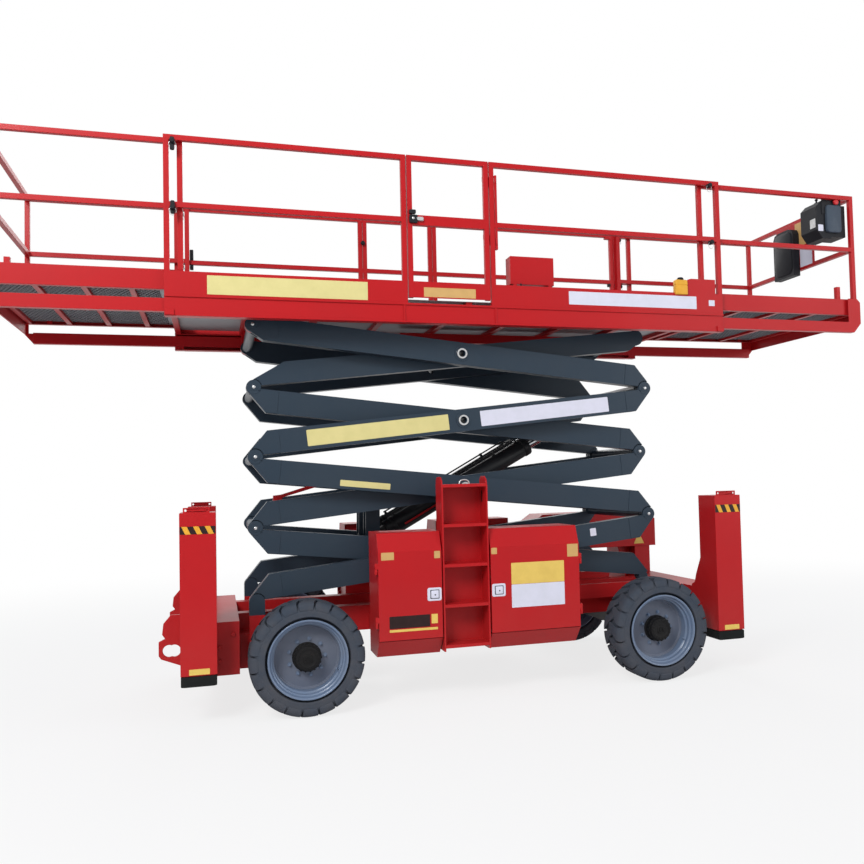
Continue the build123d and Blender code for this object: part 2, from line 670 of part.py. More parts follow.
with BuildPart() as platform_frame:
    for name, side in SIDES:
        web = span(side, deck_half - beam_wall, deck_half)
        flange = span(side, deck_half - beam_flange, deck_half)
        block(deck_x, web, beam_z)
        block(deck_x, flange, (beam_z[0], beam_z[0] + beam_wall))
        block(deck_x, flange, (beam_z[1] - beam_wall, beam_z[1]))
        block(high_track_x, span(side, inner_y - track_width / 2, inner_y + track_width / 2),
              (track_z, beam_z[1]))
        # wear pads that carry the slide beams
        for pad_x in ((deck_x[0], deck_x[0] + wear_pad), (deck_x[1] - wear_pad, deck_x[1])):
            block(pad_x, span(side, *slide_beam_y), (beam_z[0] + beam_wall, slide_beam_z[0] - slide_fit))
        tongue = span(side, outer_y - arm_thick / 2 + ear_slice + slice_gap,
                      outer_y + arm_thick / 2 - ear_slice - slice_gap)
        block((platform_pin_x - 50, platform_pin_x + 50), tongue, (platform_pin_z, beam_z[1]))
        bar_y(platform_pin_x, platform_pin_z, ear_radius, tongue)
        bar_y(platform_pin_x, platform_pin_z, pin_radius + pin_fit, tongue, mode=Mode.SUBTRACT)
    cross_count = 9
    for index in range(cross_count):
        cross_x = deck_x[0] + 30 + index * (deck_x[1] - deck_x[0] - 60) / (cross_count - 1)
        block((cross_x - 25, cross_x + 25), (-cross_half, cross_half), (beam_z[1], floor_z))
    block((platform_pin_x - 60, platform_pin_x + 60), (-cross_half, cross_half), (beam_z[1], floor_z))
save(platform_frame.part, "platform_frame")

with BuildPart() as platform_floor:
    block(deck_x, (60 - deck_half, deck_half - 60), (floor_z, floor_z + floor_wall))
save(platform_floor.part, "platform_floor")

# ================================================================ guard rails of the main deck
def rail_panel(x, side, posts):
    """Top rail, mid rail and posts of one side; the posts stand on the side beam."""
    y = span(side, deck_half - tube, deck_half)
    block(x, y, (rail_top - tube, rail_top))
    block(x, y, (mid_rail_z - tube / 2, mid_rail_z + tube / 2))
    block(x, span(side, deck_half - 6, deck_half), (beam_z[1], toe_top))
    for post_x in posts:
        block((post_x, post_x + tube), y, (beam_z[1], rail_top))


def guide_pads(x, side):
    """Two pads on an end post, against which the extension's rails slide."""
    for top_z in (extension_top, mid_rail_z + tube / 2):
        block(x, span(side, extension_half + slide_fit, deck_half - tube), (top_z - tube + 2, top_z - 2))


def gate_leaves(x, low, length):
    """A leaf on the inner face of a post and a knuckle on the gate's hinge axis, at each hinge."""
    for seam_z in gate_hinge_z:
        block(x, span(-1, gate_hinge_y + 7, deck_half - tube), (seam_z + low, seam_z + low + length))
        knuckle_disc(gate_hinge_x, -gate_hinge_y, seam_z + low, knuckle_radius, length)


rear_end_post = (deck_x[0], deck_x[0] + tube)
front_end_post = (deck_x[1] - tube, deck_x[1])
with BuildPart() as rail_rear_right:
    rail_panel((deck_x[0], gate_x[0] - gate_gap), -1, (deck_x[0], gate_x[0] - gate_gap - tube))
    guide_pads(rear_end_post, -1)
save(rail_rear_right.part, "rail_rear_right")

with BuildPart() as rail_front_right:
    rail_panel((gate_x[1] + gate_gap, deck_x[1]), -1, (gate_x[1] + gate_gap, deck_x[1] - tube))
    guide_pads(front_end_post, -1)
    left, right, top = raised_toe
    plate_y([(left, toe_top), (left, top - 40), (left + 16, top - 10), (left + 50, top),
             (right, top), (right, toe_top)], span(-1, deck_half - 6, deck_half))
    gate_leaves((gate_hinge_x, gate_x[1] + gate_gap + tube), 0, knuckle_length)
    for seam_z in gate_hinge_z:
        hinge_pin(gate_hinge_x, -gate_hinge_y, seam_z, 2 * knuckle_length + 4)
save(rail_front_right.part, "rail_front_right")

with BuildPart() as rail_left:
    rail_panel(deck_x, 1, (deck_x[0], *left_post_x, deck_x[1] - tube))
    guide_pads(rear_end_post, 1)
    guide_pads(front_end_post, 1)
save(rail_left.part, "rail_left")

with BuildPart() as gate:
    y = span(-1, deck_half - tube, deck_half)
    for post in ((gate_x[0], gate_x[0] + tube), (gate_x[1] - tube, gate_x[1])):
        block(post, y, (gate_low_z, rail_top))
    block(gate_x, y, (rail_top - tube, rail_top))
    block(gate_x, y, (mid_rail_z - 40, mid_rail_z + 40))
    block(gate_x, span(-1, deck_half - 8, deck_half), (gate_low_z, toe_top))
    gate_leaves((gate_x[1] - tube, gate_hinge_x), knuckle_length + 0.5, knuckle_length)
    for seam_z in gate_hinge_z:
        knuckle_disc(gate_hinge_x, -gate_hinge_y, seam_z + knuckle_length, hinge_pin_radius + pin_fit,
                     knuckle_length + 2, Mode.SUBTRACT)
save(gate.part, "gate")

with BuildPart() as tool_box:
    block(tool_box_x, span(-1, *tool_box_y), tool_box_z)
    for foot_x in (tool_box_x[0] + 25, tool_box_x[1] - 20 - tool_box_foot):
        block((foot_x, foot_x + tool_box_foot), span(-1, *tool_box_y),
              (floor_z + floor_wall, tool_box_z[0]))
save(tool_box.part, "tool_box")

# ================================================================ deck extensions
gusset_end = extension_end - 75  # where the slide beams stop
end_plate_z = (slide_beam_z[0] + 86, side_beam_z[1] - 35)
gusset_start = gusset_end - 60
gusset_neck = extension_end - 33  # clears the deck's end post when the rear extension is run in
end_gusset_low = [(gusset_start, slide_beam_z[0]), (gusset_end, slide_beam_z[0]),
                  (extension_end, end_plate_z[0]), (extension_end, end_plate_z[1])]
end_gusset_high = {"rear": [(gusset_neck, side_beam_z[1] - 2), (gusset_neck, slide_beam_z[1]),
                            (gusset_start, slide_beam_z[1])],
                   "front": [(extension_end - 35, side_beam_z[1]), (gusset_start, side_beam_z[1])]}
stub_top = {"rear": side_beam_z[1] + 42, "front": side_beam_z[1] + 115}
stub_x = (extension_end - 228, extension_end - 188)
for end, way in (("rear", -1), ("front", 1)):
    deck_end = deck_x[0] if way < 0 else deck_x[1]
    post_x = (inner_post[end], inner_post[end] + tube)
    inner_x = post_x[1] if way < 0 else post_x[0]
    outer_x = way * (extension_end - end_plate)
    x = sorted((inner_x, outer_x))
    with BuildPart() as deck:
        for name, side in SIDES:
            block(x, span(side, extension_half - 6, extension_half), side_beam_z)
            block(x, span(side, extension_half - 46, extension_half), (side_beam_z[0], side_beam_z[0] + 6))
            block((deck_end - way * slide_overlap, way * gusset_end),
                  span(side, *slide_beam_y), slide_beam_z)
            plate_y([(way * u, z) for u, z in end_gusset_low + end_gusset_high[end]],
                    span(side, slide_beam_y[1] - 6, slide_beam_y[1]))
            block((way * stub_x[0], way * stub_x[1]), span(side, extension_half - 46, extension_half - 6),
                  (side_beam_z[0], stub_top[end]))
        block((outer_x, way * extension_end), (-slide_beam_y[1] + 6, slide_beam_y[1] - 6), end_plate_z)
        for index in range(5):
            cross_x = x[0] + 40 + index * (x[1] - x[0] - 80) / 4
            block((cross_x - 20, cross_x + 20), (-extension_half + 6, extension_half - 6),
                  (side_beam_z[0] + 3, side_beam_z[0] + 33))
        block(x, (-extension_half + 6, extension_half - 6), (side_beam_z[0] + 33, side_beam_z[0] + 39))
    save(deck.part, f"extension_deck_{end}")
    with BuildPart() as rails:
        rail_x = sorted((inner_x, outer_x))
        corner = sorted((outer_x, outer_x - way * tube))
        for name, side in SIDES:
            y = span(side, extension_half - tube, extension_half)
            inside = span(side, extension_half - 6 - tube, extension_half - 6)
            block(rail_x, y, (extension_top - tube, extension_top))
            block(rail_x, y, (mid_rail_z - tube / 2, mid_rail_z + tube / 2))
            for post in (post_x, corner):
                block(post, y, (side_beam_z[1], extension_top))
                block(post, inside, (side_beam_z[0] + 39, side_beam_z[1] + 20))
        for rail_z0 in (extension_top - tube, mid_rail_z - tube / 2):
            block(corner, (-extension_half, extension_half), (rail_z0, rail_z0 + tube))
        if end == "front":
            # plate for the papers and labels
            block((corner[0] - 6, corner[0]), (-336, 281), (mid_rail_z - 4, extension_top - tube + 6))
    save(rails.part, f"extension_rails_{end}")

inner_rail_y = extension_half - tube
panel_top = extension_top - 49
with BuildPart() as control_box:
    plate_y([(control_x[0], panel_top - 55), (control_x[0] + 55, panel_top), (control_x[1], panel_top),
             (control_x[1], panel_top - 355), (control_x[0] + 60, panel_top - 355),
             (control_x[0], panel_top - 275)], span(-1, inner_rail_y - 248, inner_rail_y - 8))
    block(control_x[1:], span(-1, inner_rail_y - 218, inner_rail_y - 8), (panel_top - 335, panel_top - 35))
    block((control_x[0] + 55, control_x[2] - 46), span(-1, inner_rail_y - 8, inner_rail_y),
          (panel_top - 125, extension_top))
save(control_box.part, "control_box")

low_z, top_z = mid_rail_z - 75, extension_top - 94
with BuildPart() as document_box:
    right_y, left_y = papers_y
    prism_x([(right_y, low_z), (left_y, low_z), (left_y, top_z - 60), (left_y - 27, top_z - 15),
             (left_y - 77, top_z), (right_y + 77, top_z), (right_y + 27, top_z - 15),
             (right_y, top_z - 60)], papers_x)
save(document_box.part, "document_box")
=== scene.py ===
"""Looks of the rough-terrain scissor lift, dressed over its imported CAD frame.

Lengths are in metres. +X is towards the steered axle, +Y is the machine's left and +Z is up.
A face is written as a function that takes (u, v, w) to a place, where w is the distance out of the face.
"""

import json
import math

import bmesh
import bpy
from mathutils import Matrix, Vector


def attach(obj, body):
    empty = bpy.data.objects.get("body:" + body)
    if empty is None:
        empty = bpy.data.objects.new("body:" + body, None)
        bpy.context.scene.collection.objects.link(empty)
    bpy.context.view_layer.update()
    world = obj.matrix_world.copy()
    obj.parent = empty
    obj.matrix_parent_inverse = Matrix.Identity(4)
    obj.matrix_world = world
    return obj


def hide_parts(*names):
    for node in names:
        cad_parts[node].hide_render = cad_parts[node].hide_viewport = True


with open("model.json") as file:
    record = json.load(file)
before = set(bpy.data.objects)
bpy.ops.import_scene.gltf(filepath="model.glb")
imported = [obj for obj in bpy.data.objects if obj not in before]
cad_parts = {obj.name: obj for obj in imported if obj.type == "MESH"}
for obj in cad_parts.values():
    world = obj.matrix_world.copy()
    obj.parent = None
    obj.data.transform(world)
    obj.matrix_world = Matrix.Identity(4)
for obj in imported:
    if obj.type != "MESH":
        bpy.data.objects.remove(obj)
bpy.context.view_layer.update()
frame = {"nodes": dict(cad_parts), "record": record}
nodes = frame["nodes"]
bpy.context.scene.view_settings.view_transform = "Standard"
SIDES = (("right", -1), ("left", 1))

# -------- camera, light and floor
IMAGE_SIDE = 864
SENSOR_MM = 36
FOCAL_PX = 896.5
CENTRE_PX = (502.5, 439.3)
CAMERA_AT = Vector((-2.085, -7.812, 1.696))
YAW, PITCH, ROLL = (math.radians(a) for a in (17.729, 2.496, -1.434))

camera = bpy.data.objects.new("camera", bpy.data.cameras.new("camera"))
bpy.context.scene.collection.objects.link(camera)
bpy.context.scene.camera = camera
forward = Vector((math.sin(YAW) * math.cos(PITCH), math.cos(YAW) * math.cos(PITCH), math.sin(PITCH)))
right = forward.cross(Vector((0, 0, 1))).normalized()
up = right.cross(forward)
right, up = math.cos(ROLL) * right + math.sin(ROLL) * up, math.cos(ROLL) * up - math.sin(ROLL) * right
turn = Matrix((right, up, -forward)).transposed()
camera.matrix_world = Matrix.Translation(CAMERA_AT) @ turn.to_4x4()
camera.data.sensor_width = SENSOR_MM
camera.data.lens = SENSOR_MM * FOCAL_PX / IMAGE_SIDE
camera.data.shift_x = (IMAGE_SIDE / 2 - CENTRE_PX[0]) / IMAGE_SIDE
camera.data.shift_y = (CENTRE_PX[1] - IMAGE_SIDE / 2) / IMAGE_SIDE
camera.data.clip_end = 200


def area_light(name, at, look_at, size, power):
    """One soft square lamp."""
    data = bpy.data.lights.new(name, "AREA")
    data.shape = "SQUARE"
    data.size = size
    data.energy = power
    lamp = bpy.data.objects.new(name, data)
    bpy.context.scene.collection.objects.link(lamp)
    lamp.location = at
    lamp.rotation_euler = (Vector(look_at) - Vector(at)).to_track_quat("-Z", "Y").to_euler()


# name, place, side length, power
LAMPS = (("key", (-6.5, -9.0, 8.5), 4.0, 1000),
         ("fill", (8.0, -8.0, 4.0), 6.0, 280),
         ("back", (2.0, 10.0, 8.0), 6.0, 450))
LAMPS_LOOK_AT = (0, 0, 2)
SKY, SKY_STRENGTH = (0.86, 0.9, 1.0), 0.45
FLOOR_SIDE = 80
FLOOR_GREY = (0.72, 0.72, 0.72)
FLOOR_FADE = (3.0, 12.0)  # the floor turns white between these distances from the middle
FLOOR_WHITENESS = (0.78, 1.0)

for name, at, size, power in LAMPS:
    area_light(name, at, LAMPS_LOOK_AT, size, power)


def node_tree(name):
    """A new material, its tree and its Principled shader."""
    made = bpy.data.materials.new(name)
    made.use_nodes = True
    tree = made.node_tree
    return made, tree, tree.nodes["Principled BSDF"]


def math_node(tree, operation, first, second):
    """The result of a Math node on two sockets, or on a socket and a number."""
    made = tree.nodes.new("ShaderNodeMath")
    made.operation = operation
    tree.links.new(first, made.inputs[0])
    if isinstance(second, (int, float)):
        made.inputs[1].default_value = second
    else:
        tree.links.new(second, made.inputs[1])
    return made.outputs[0]


def object_place(tree):
    """A point's place in the piece's own coordinates, in metres."""
    return tree.nodes.new("ShaderNodeTexCoord").outputs["Object"]


def map_range(tree, source, before, after):
    """A value carried from one span to another."""
    made = tree.nodes.new("ShaderNodeMapRange")
    made.inputs["From Min"].default_value, made.inputs["From Max"].default_value = before
    made.inputs["To Min"].default_value, made.inputs["To Max"].default_value = after
    tree.links.new(source, made.inputs["Value"])
    return made


def blend(tree, share, colour, other):
    """A colour socket mixed with a plain colour by a share."""
    made = tree.nodes.new("ShaderNodeMix")
    made.data_type = "RGBA"
    made.inputs["B"].default_value = (*other, 1)
    tree.links.new(share, made.inputs["Factor"])
    tree.links.new(colour, made.inputs["A"])
    return made.outputs["Result"]


def mix_shaders(tree, share, first, second, output):
    """Two shaders mixed by a share into the tree's output node."""
    made = tree.nodes.new("ShaderNodeMixShader")
    for index, source in enumerate((share, first, second)):
        tree.links.new(source, made.inputs[index])
    tree.links.new(made.outputs[0], tree.nodes[output].inputs[0])


def camera_or_shine(tree):
    """1 for what the camera sees directly, in a mirror finish or through glass."""
    path = tree.nodes.new("ShaderNodeLightPath").outputs
    direct = math_node(tree, "MAXIMUM", path["Is Camera Ray"], path["Is Glossy Ray"])
    return math_node(tree, "MAXIMUM", direct, path["Is Transmission Ray"])


world = bpy.data.worlds.new("studio")
bpy.context.scene.world = world
world.use_nodes = True
tree = world.node_tree
background = tree.nodes["Background"]
background.inputs["Color"].default_value = (*SKY, 1)
background.inputs["Strength"].default_value = SKY_STRENGTH
seen = tree.nodes.new("ShaderNodeBackground")
seen.inputs["Color"].default_value = (1, 1, 1, 1)
seen.inputs["Strength"].default_value = 1
mix_shaders(tree, camera_or_shine(tree), background.outputs[0], seen.outputs[0], "World Output")

bpy.ops.mesh.primitive_plane_add(size=FLOOR_SIDE)
floor = bpy.context.object
floor.name = "floor"
made, tree, shader = node_tree("floor")
shader.inputs["Base Color"].default_value = (*FLOOR_GREY, 1)
shader.inputs["Roughness"].default_value = 0.95
shader.inputs["Specular IOR Level"].default_value = 0.0
glow = tree.nodes.new("ShaderNodeEmission")
glow.inputs["Color"].default_value = (1, 1, 1, 1)
# the floor keeps the object's shadow near it and turns white further out
reach = tree.nodes.new("ShaderNodeVectorMath")
reach.operation = "LENGTH"
tree.links.new(object_place(tree), reach.inputs[0])
whiteness = map_range(tree, reach.outputs["Value"], FLOOR_FADE, FLOOR_WHITENESS)
whiteness.interpolation_type = "SMOOTHSTEP"
share = math_node(tree, "MULTIPLY", camera_or_shine(tree), whiteness.outputs[0])
mix_shaders(tree, share, shader.outputs[0], glow.outputs[0], "Material Output")
floor.data.materials.append(made)


# -------- materials
def noise(tree, scale, detail, rough):
    """A noise texture in the piece's own coordinates."""
    made = tree.nodes.new("ShaderNodeTexNoise")
    made.inputs["Scale"].default_value = scale
    made.inputs["Detail"].default_value = detail
    made.inputs["Roughness"].default_value = rough
    tree.links.new(object_place(tree), made.inputs["Vector"])
    return made


def ramp(tree, source, places, colours):
    """A colour that runs from one to another between two places of a texture's value."""
    made = tree.nodes.new("ShaderNodeValToRGB")
    for element, place, colour in zip(made.color_ramp.elements, places, colours):
        element.position = place
        element.color = (*colour, 1)
    tree.links.new(source, made.inputs[0])
    return made.outputs[0]


DUST = (0.30, 0.23, 0.18)
DUST_Z = (0.25, 0.95)  # dust thins out between these heights
# scale, detail and roughness of the noise behind the dust and the worn patches
DUST_NOISE, PATCH_DETAIL = (5.0, 8, 0.7), (6, 0.65)
PATCH_PLACES = (0.38, 0.78)
GRAIN_DEPTH = 0.002
COAT_ROUGHNESS = 0.12


def add_dust(tree, clean, most):
    """Mixes road dust over a colour, thickest near the ground and broken up by noise."""
    split = tree.nodes.new("ShaderNodeSeparateXYZ")
    tree.links.new(object_place(tree), split.inputs[0])
    height = map_range(tree, split.outputs["Z"], DUST_Z, (most, 0.0))
    broken = noise(tree, *DUST_NOISE)
    share = math_node(tree, "MULTIPLY", height.outputs[0], broken.outputs["Fac"])
    return blend(tree, share, clean, DUST)


def finish_of(name, colour, worn, roughness, metal=0.0, coat=0.0, scale=3.0, bump=0.15, grain=60.0,
              shine=0.5, dust=0.0):
    """A paint, plastic or metal: broad patches of a worn tone, fine grain in roughness and bump."""
    made, tree, shader = node_tree(name)
    patches = noise(tree, scale, *PATCH_DETAIL)
    tone = ramp(tree, patches.outputs["Fac"], PATCH_PLACES, (colour, worn))
    if dust:
        tone = add_dust(tree, tone, dust)
    tree.links.new(tone, shader.inputs["Base Color"])
    fine = noise(tree, grain, 3, 0.6)
    spread = map_range(tree, patches.outputs["Fac"], (0, 1), (roughness - 0.08, roughness + 0.12))
    tree.links.new(spread.outputs[0], shader.inputs["Roughness"])
    bumps = tree.nodes.new("ShaderNodeBump")
    bumps.inputs["Strength"].default_value = bump
    bumps.inputs["Distance"].default_value = GRAIN_DEPTH
    tree.links.new(fine.outputs["Fac"], bumps.inputs["Height"])
    tree.links.new(bumps.outputs[0], shader.inputs["Normal"])
    shader.inputs["Metallic"].default_value = metal
    shader.inputs["Coat Weight"].default_value = coat
    shader.inputs["Coat Roughness"].default_value = COAT_ROUGHNESS
    shader.inputs["Specular IOR Level"].default_value = shine
    return made


# name, clean colour, worn colour, roughness and the rest of finish_of
FINISHES = {
    "red_paint": finish_of("red_paint", (0.47, 0.010, 0.013), (0.43, 0.011, 0.014), 0.36, coat=0.04,
                           scale=1.3, bump=0.04, grain=25, shine=0.15, dust=0.10),
    "slate_paint": finish_of("slate_paint", (0.025, 0.041, 0.060), (0.033, 0.047, 0.063), 0.38, coat=0.04,
                             scale=1.5, bump=0.04, grain=25, shine=0.16),
    "tyre": finish_of("rubber", (0.046, 0.060, 0.082), (0.075, 0.080, 0.092), 0.85, scale=7, grain=120,
                      bump=0.3, shine=0.08, dust=0.12),
    "rim_paint": finish_of("rim_paint", (0.13, 0.19, 0.295), (0.16, 0.20, 0.27), 0.32, coat=0.12, shine=0.35,
                           dust=0.1),
    "black_paint": finish_of("black_paint", (0.008, 0.009, 0.011), (0.018, 0.018, 0.020), 0.42, shine=0.2,
                             dust=0.1),
    "cast_black": finish_of("cast_black", (0.007, 0.007, 0.008), (0.016, 0.015, 0.014), 0.55, bump=0.4,
                            shine=0.15),
    "chrome_rod": finish_of("chrome_rod", (0.60, 0.61, 0.63), (0.50, 0.50, 0.52), 0.16, metal=1.0, bump=0.02),
    "deck_steel": finish_of("deck_steel", (0.28, 0.29, 0.31), (0.36, 0.36, 0.36), 0.5, metal=0.4, shine=0.3),
    "black_plastic": finish_of("black_plastic", (0.010, 0.011, 0.014), (0.020, 0.021, 0.025), 0.5, grain=300,
                               shine=0.15),
}
zinc = finish_of("zinc_plate", (0.55, 0.56, 0.57), (0.40, 0.39, 0.38), 0.34, metal=0.8, scale=30)
LABEL_LOOK = {"scale": 9, "bump": 0.03, "shine": 0.2}
BAND_LOOK = {"scale": 20, "bump": 0.03, "shine": 0.2}
yellow = finish_of("label_yellow", (0.78, 0.55, 0.13), (0.70, 0.48, 0.11), 0.45, **LABEL_LOOK)
cream = finish_of("label_cream", (0.70, 0.62, 0.27), (0.64, 0.57, 0.24), 0.45, **LABEL_LOOK)
white = finish_of("label_white", (0.70, 0.70, 0.80), (0.64, 0.65, 0.73), 0.45, **LABEL_LOOK)
tan = finish_of("label_tan", (0.62, 0.38, 0.14), (0.54, 0.33, 0.12), 0.45, **LABEL_LOOK)
orange = finish_of("hazard_yellow", (0.80, 0.40, 0.04), (0.68, 0.33, 0.03), 0.4, **BAND_LOOK)
dark = finish_of("hazard_dark", (0.020, 0.008, 0.008), (0.03, 0.012, 0.012), 0.4, **BAND_LOOK)
blue_grey = finish_of("blue_grey_plastic", (0.048, 0.066, 0.092), (0.06, 0.08, 0.105), 0.4, grain=200,
                      shine=0.2)
knob_red = finish_of("knob_red", (0.55, 0.02, 0.025), (0.48, 0.02, 0.02), 0.3, grain=200, bump=0.03,
                     shine=0.25)
disc_grey = finish_of("rim_disc", (0.12, 0.145, 0.20), (0.155, 0.175, 0.22), 0.42, shine=0.3, dust=0.12)
foot_rubber = finish_of("foot_rubber", (0.008, 0.010, 0.010), (0.018, 0.018, 0.018), 0.7, grain=200,
                        bump=0.3, shine=0.12)
mesh_steel = finish_of("mesh_steel", (0.20, 0.21, 0.23), (0.27, 0.27, 0.28), 0.6, metal=0.2, scale=12,
                       shine=0.2)
red_paint, slate_paint = FINISHES["red_paint"], FINISHES["slate_paint"]
black_paint, black_plastic = FINISHES["black_paint"], FINISHES["black_plastic"]


def patch_paint(name, base, other, low, high):
    """A copy of a finish that turns into another colour inside a box of the object's own coordinates."""
    made = base.copy()
    made.name = name
    tree = made.node_tree
    shader = tree.nodes["Principled BSDF"]
    split = tree.nodes.new("ShaderNodeSeparateXYZ")
    tree.links.new(object_place(tree), split.inputs[0])
    inside = None
    for axis in range(3):
        for limit, operation in ((low[axis], "GREATER_THAN"), (high[axis], "LESS_THAN")):
            if limit is not None:
                test = math_node(tree, operation, split.outputs[axis], limit)
                inside = test if inside is None else math_node(tree, "MULTIPLY", inside, test)
    clean = shader.inputs["Base Color"].links[0].from_socket
    tree.links.new(blend(tree, inside, clean, other), shader.inputs["Base Color"])
    return made


# -------- shapes
def rounded(u, v, radius, steps=4):
    """Outline of a rectangle with rounded corners, from its two spans."""
    corners = ((u[1] - radius, v[1] - radius), (u[0] + radius, v[1] - radius),
               (u[0] + radius, v[0] + radius), (u[1] - radius, v[0] + radius))
    outline = []
    for quarter, (centre_u, centre_v) in enumerate(corners):
        for step in range(steps + 1):
            angle = math.radians(90 * (quarter + step / steps))
            outline.append((centre_u + radius * math.cos(angle), centre_v + radius * math.sin(angle)))
    return outline


def circle(u, v, radius, sides=24, first=0.0):
    """Outline of a circle about a point."""
    return [(u + radius * math.cos(2 * math.pi * i / sides + first),
             v + radius * math.sin(2 * math.pi * i / sides + first)) for i in range(sides)]


def side_face(side):
    """Upright faces that look right or left: u along X, v up, w out from the middle."""
    return lambda u, v, w: Vector((u, side * w, v))


def end_face(u, v, w):
    """Upright faces that look along X: u along Y, v up, w along X."""
    return Vector((w, u, v))


def top_face(u, v, w):
    """Level faces: u along X, v along Y, w up."""
    return Vector((u, v, w))


SHARP_FROM = math.radians(35)  # edges turned by more than this look sharp and are rounded


class Shape:
    """Closed forms gathered into one mesh."""

    def __init__(self):
        self.mesh = bmesh.new()

    def skin(self, rings, closed=False):
        """Skins rings of equally many points, and caps the ends or joins the last to the first."""
        rows = [[self.mesh.verts.new(point) for point in ring] for ring in rings]
        pairs = list(zip(rows, rows[1:]))
        if closed:
            pairs.append((rows[-1], rows[0]))
        count = len(rows[0])
        for low, high in pairs:
            for i in range(count):
                j = (i + 1) % count
                self.mesh.faces.new((low[i], low[j], high[j], high[i]))
        if not closed:
            self.mesh.faces.new(rows[0][::-1])
            self.mesh.faces.new(rows[-1])

    def slab(self, place, outline, low, high):
        """A plate of any outline, between two heights over its face."""
        self.skin([[place(u, v, w) for u, v in outline] for w in (low, high)])

    def disc(self, place, u, v, radius, low, high, sides=24):
        """A round boss on a face."""
        self.slab(place, circle(u, v, radius, sides), low, high)

    def bolt(self, place, u, v, across, base, turn=0.3):
        """A hexagon head on its washer, in shares of its width."""
        self.disc(place, u, v, across * 0.72, base, base + across * 0.1, 16)
        self.skin([[place(a, b, base + across * rise) for a, b in circle(u, v, across * radius, 6, turn)]
                   for rise, radius in ((0.1, 0.56), (0.5, 0.56), (0.6, 0.47))])

    def lathe(self, place, u, v, profile, sides=64):
        """A closed profile of (radius, height) turned about a face's normal at (u, v)."""
        self.skin([[place(u + radius * a, v + radius * b, w) for radius, w in profile]
                   for a, b in circle(0, 0, 1, sides)], closed=True)

    def cap(self, place, u, v, profile, sides=32):
        """A solid of revolution from rings of (radius, height), closed at both ends."""
        self.skin([[place(a, b, w) for a, b in circle(u, v, radius, sides)] for radius, w in profile])

    def tube(self, points, radius, sides=10):
        """A round bar through points."""
        points = [Vector(p) for p in points]
        rings = []
        side = None
        for i, point in enumerate(points):
            along = (points[min(i + 1, len(points) - 1)] - points[max(i - 1, 0)]).normalized()
            if side is None:
                side = along.orthogonal().normalized()
            side = (side - along * side.dot(along)).normalized()
            other = along.cross(side)
            rings.append([point + radius * (math.cos(a) * side + math.sin(a) * other)
                          for a in (2 * math.pi * k / sides for k in range(sides))])
        self.skin(rings)

    def make(self, name, body, material, slot=None, bevel=0.0):
        """Finishes the gathered mesh, if there is any, as one piece that rides on a body."""
        if not self.mesh.verts:
            return None
        bmesh.ops.recalc_face_normals(self.mesh, faces=self.mesh.faces)
        data = bpy.data.meshes.new(name)
        self.mesh.to_mesh(data)
        self.mesh.free()
        data.polygons.foreach_set("use_smooth", [True] * len(data.polygons))
        data.set_sharp_from_angle(angle=SHARP_FROM)
        made = bpy.data.objects.new(name, data)
        bpy.context.scene.collection.objects.link(made)
        data.materials.append(material)
        if bevel:
            round_edges(made, bevel)
        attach(made, body)
        return made


def round_edges(piece, width):
    """Rounds a piece's sharp edges."""
    bevel = piece.modifiers.new("rounded", "BEVEL")
    bevel.width = width
    bevel.segments = 2
    bevel.limit_method = "ANGLE"
    bevel.angle_limit = SHARP_FROM
    bevel.harden_normals = True


def blend_line(points, steps=6):
    """Points of a smooth line through a few given ones."""
    points = [Vector(p) for p in points]
    padded = [2 * points[0] - points[1]] + points + [2 * points[-1] - points[-2]]
    line = []
    for a, b, c, d in zip(padded, padded[1:], padded[2:], padded[3:]):
        for step in range(steps):
            t = step / steps
            line.append(0.5 * ((2 * b) + (c - a) * t + (2 * a - 5 * b + 4 * c - d) * t * t
                               + (3 * b - a - 3 * c + d) * t ** 3))
    return line + [points[-1]]


def bent_bar(name, body, points, radius, paint, sides=12):
    """A round bar bent smoothly through a few points, as one piece."""
    bar = Shape()
    bar.tube(blend_line(points), radius, sides)
    bar.make(name, body, paint)


def label(name, body, face, u, v, w, paint, radius=0.004, thick=0.0012, sunk=0.0004):
    """A blank sticker or sign on a face."""
    sticker = Shape()
    sticker.slab(face, rounded(u, v, radius), w - sunk, w + thick)
    sticker.make(name, body, paint)


def span(low, high, inset=0.0):
    """A span of two numbers in order, drawn in at both ends."""
    return min(low, high) + inset, max(low, high) - inset


# -------- the CAD pieces' finish
# the bearing cheeks that hold the lowest arms are coloured slate as painted shade, for the shade between the
# rear leg column and the wheel, and the floors of the extensions are grey
DECK_GREY = (0.29, 0.30, 0.32)
CHEEK_PAINTED_SHADE = (0.025, 0.041, 0.060)
CAD_WELD, CAD_BEVEL = 0.00005, 0.0025
# painted shade: the chassis frame turns slate above the beam's top at its rear end
PATCHED = {"chassis_frame": patch_paint("chassis_paint_with_painted_shade", red_paint, CHEEK_PAINTED_SHADE,
                                        (None, None, 0.700), (-1.72, None, None))}
for end in ("front", "rear"):
    PATCHED[f"extension_deck_{end}"] = patch_paint(f"deck_paint_{end}", red_paint, DECK_GREY,
                                                   (None, -0.858, 3.1745), (None, 0.858, 3.1815))
for part in frame["record"]["subparts"]:
    piece = nodes[part["node"]]
    piece.data.materials.clear()
    piece.data.materials.append(PATCHED.get(part["node"], FINISHES[part["material_slot"]]))
    if part["node"].startswith(("tyre", "rim")):
        continue
    weld = piece.modifiers.new("joined", "WELD")
    weld.merge_threshold = CAD_WELD
    round_edges(piece, CAD_BEVEL)

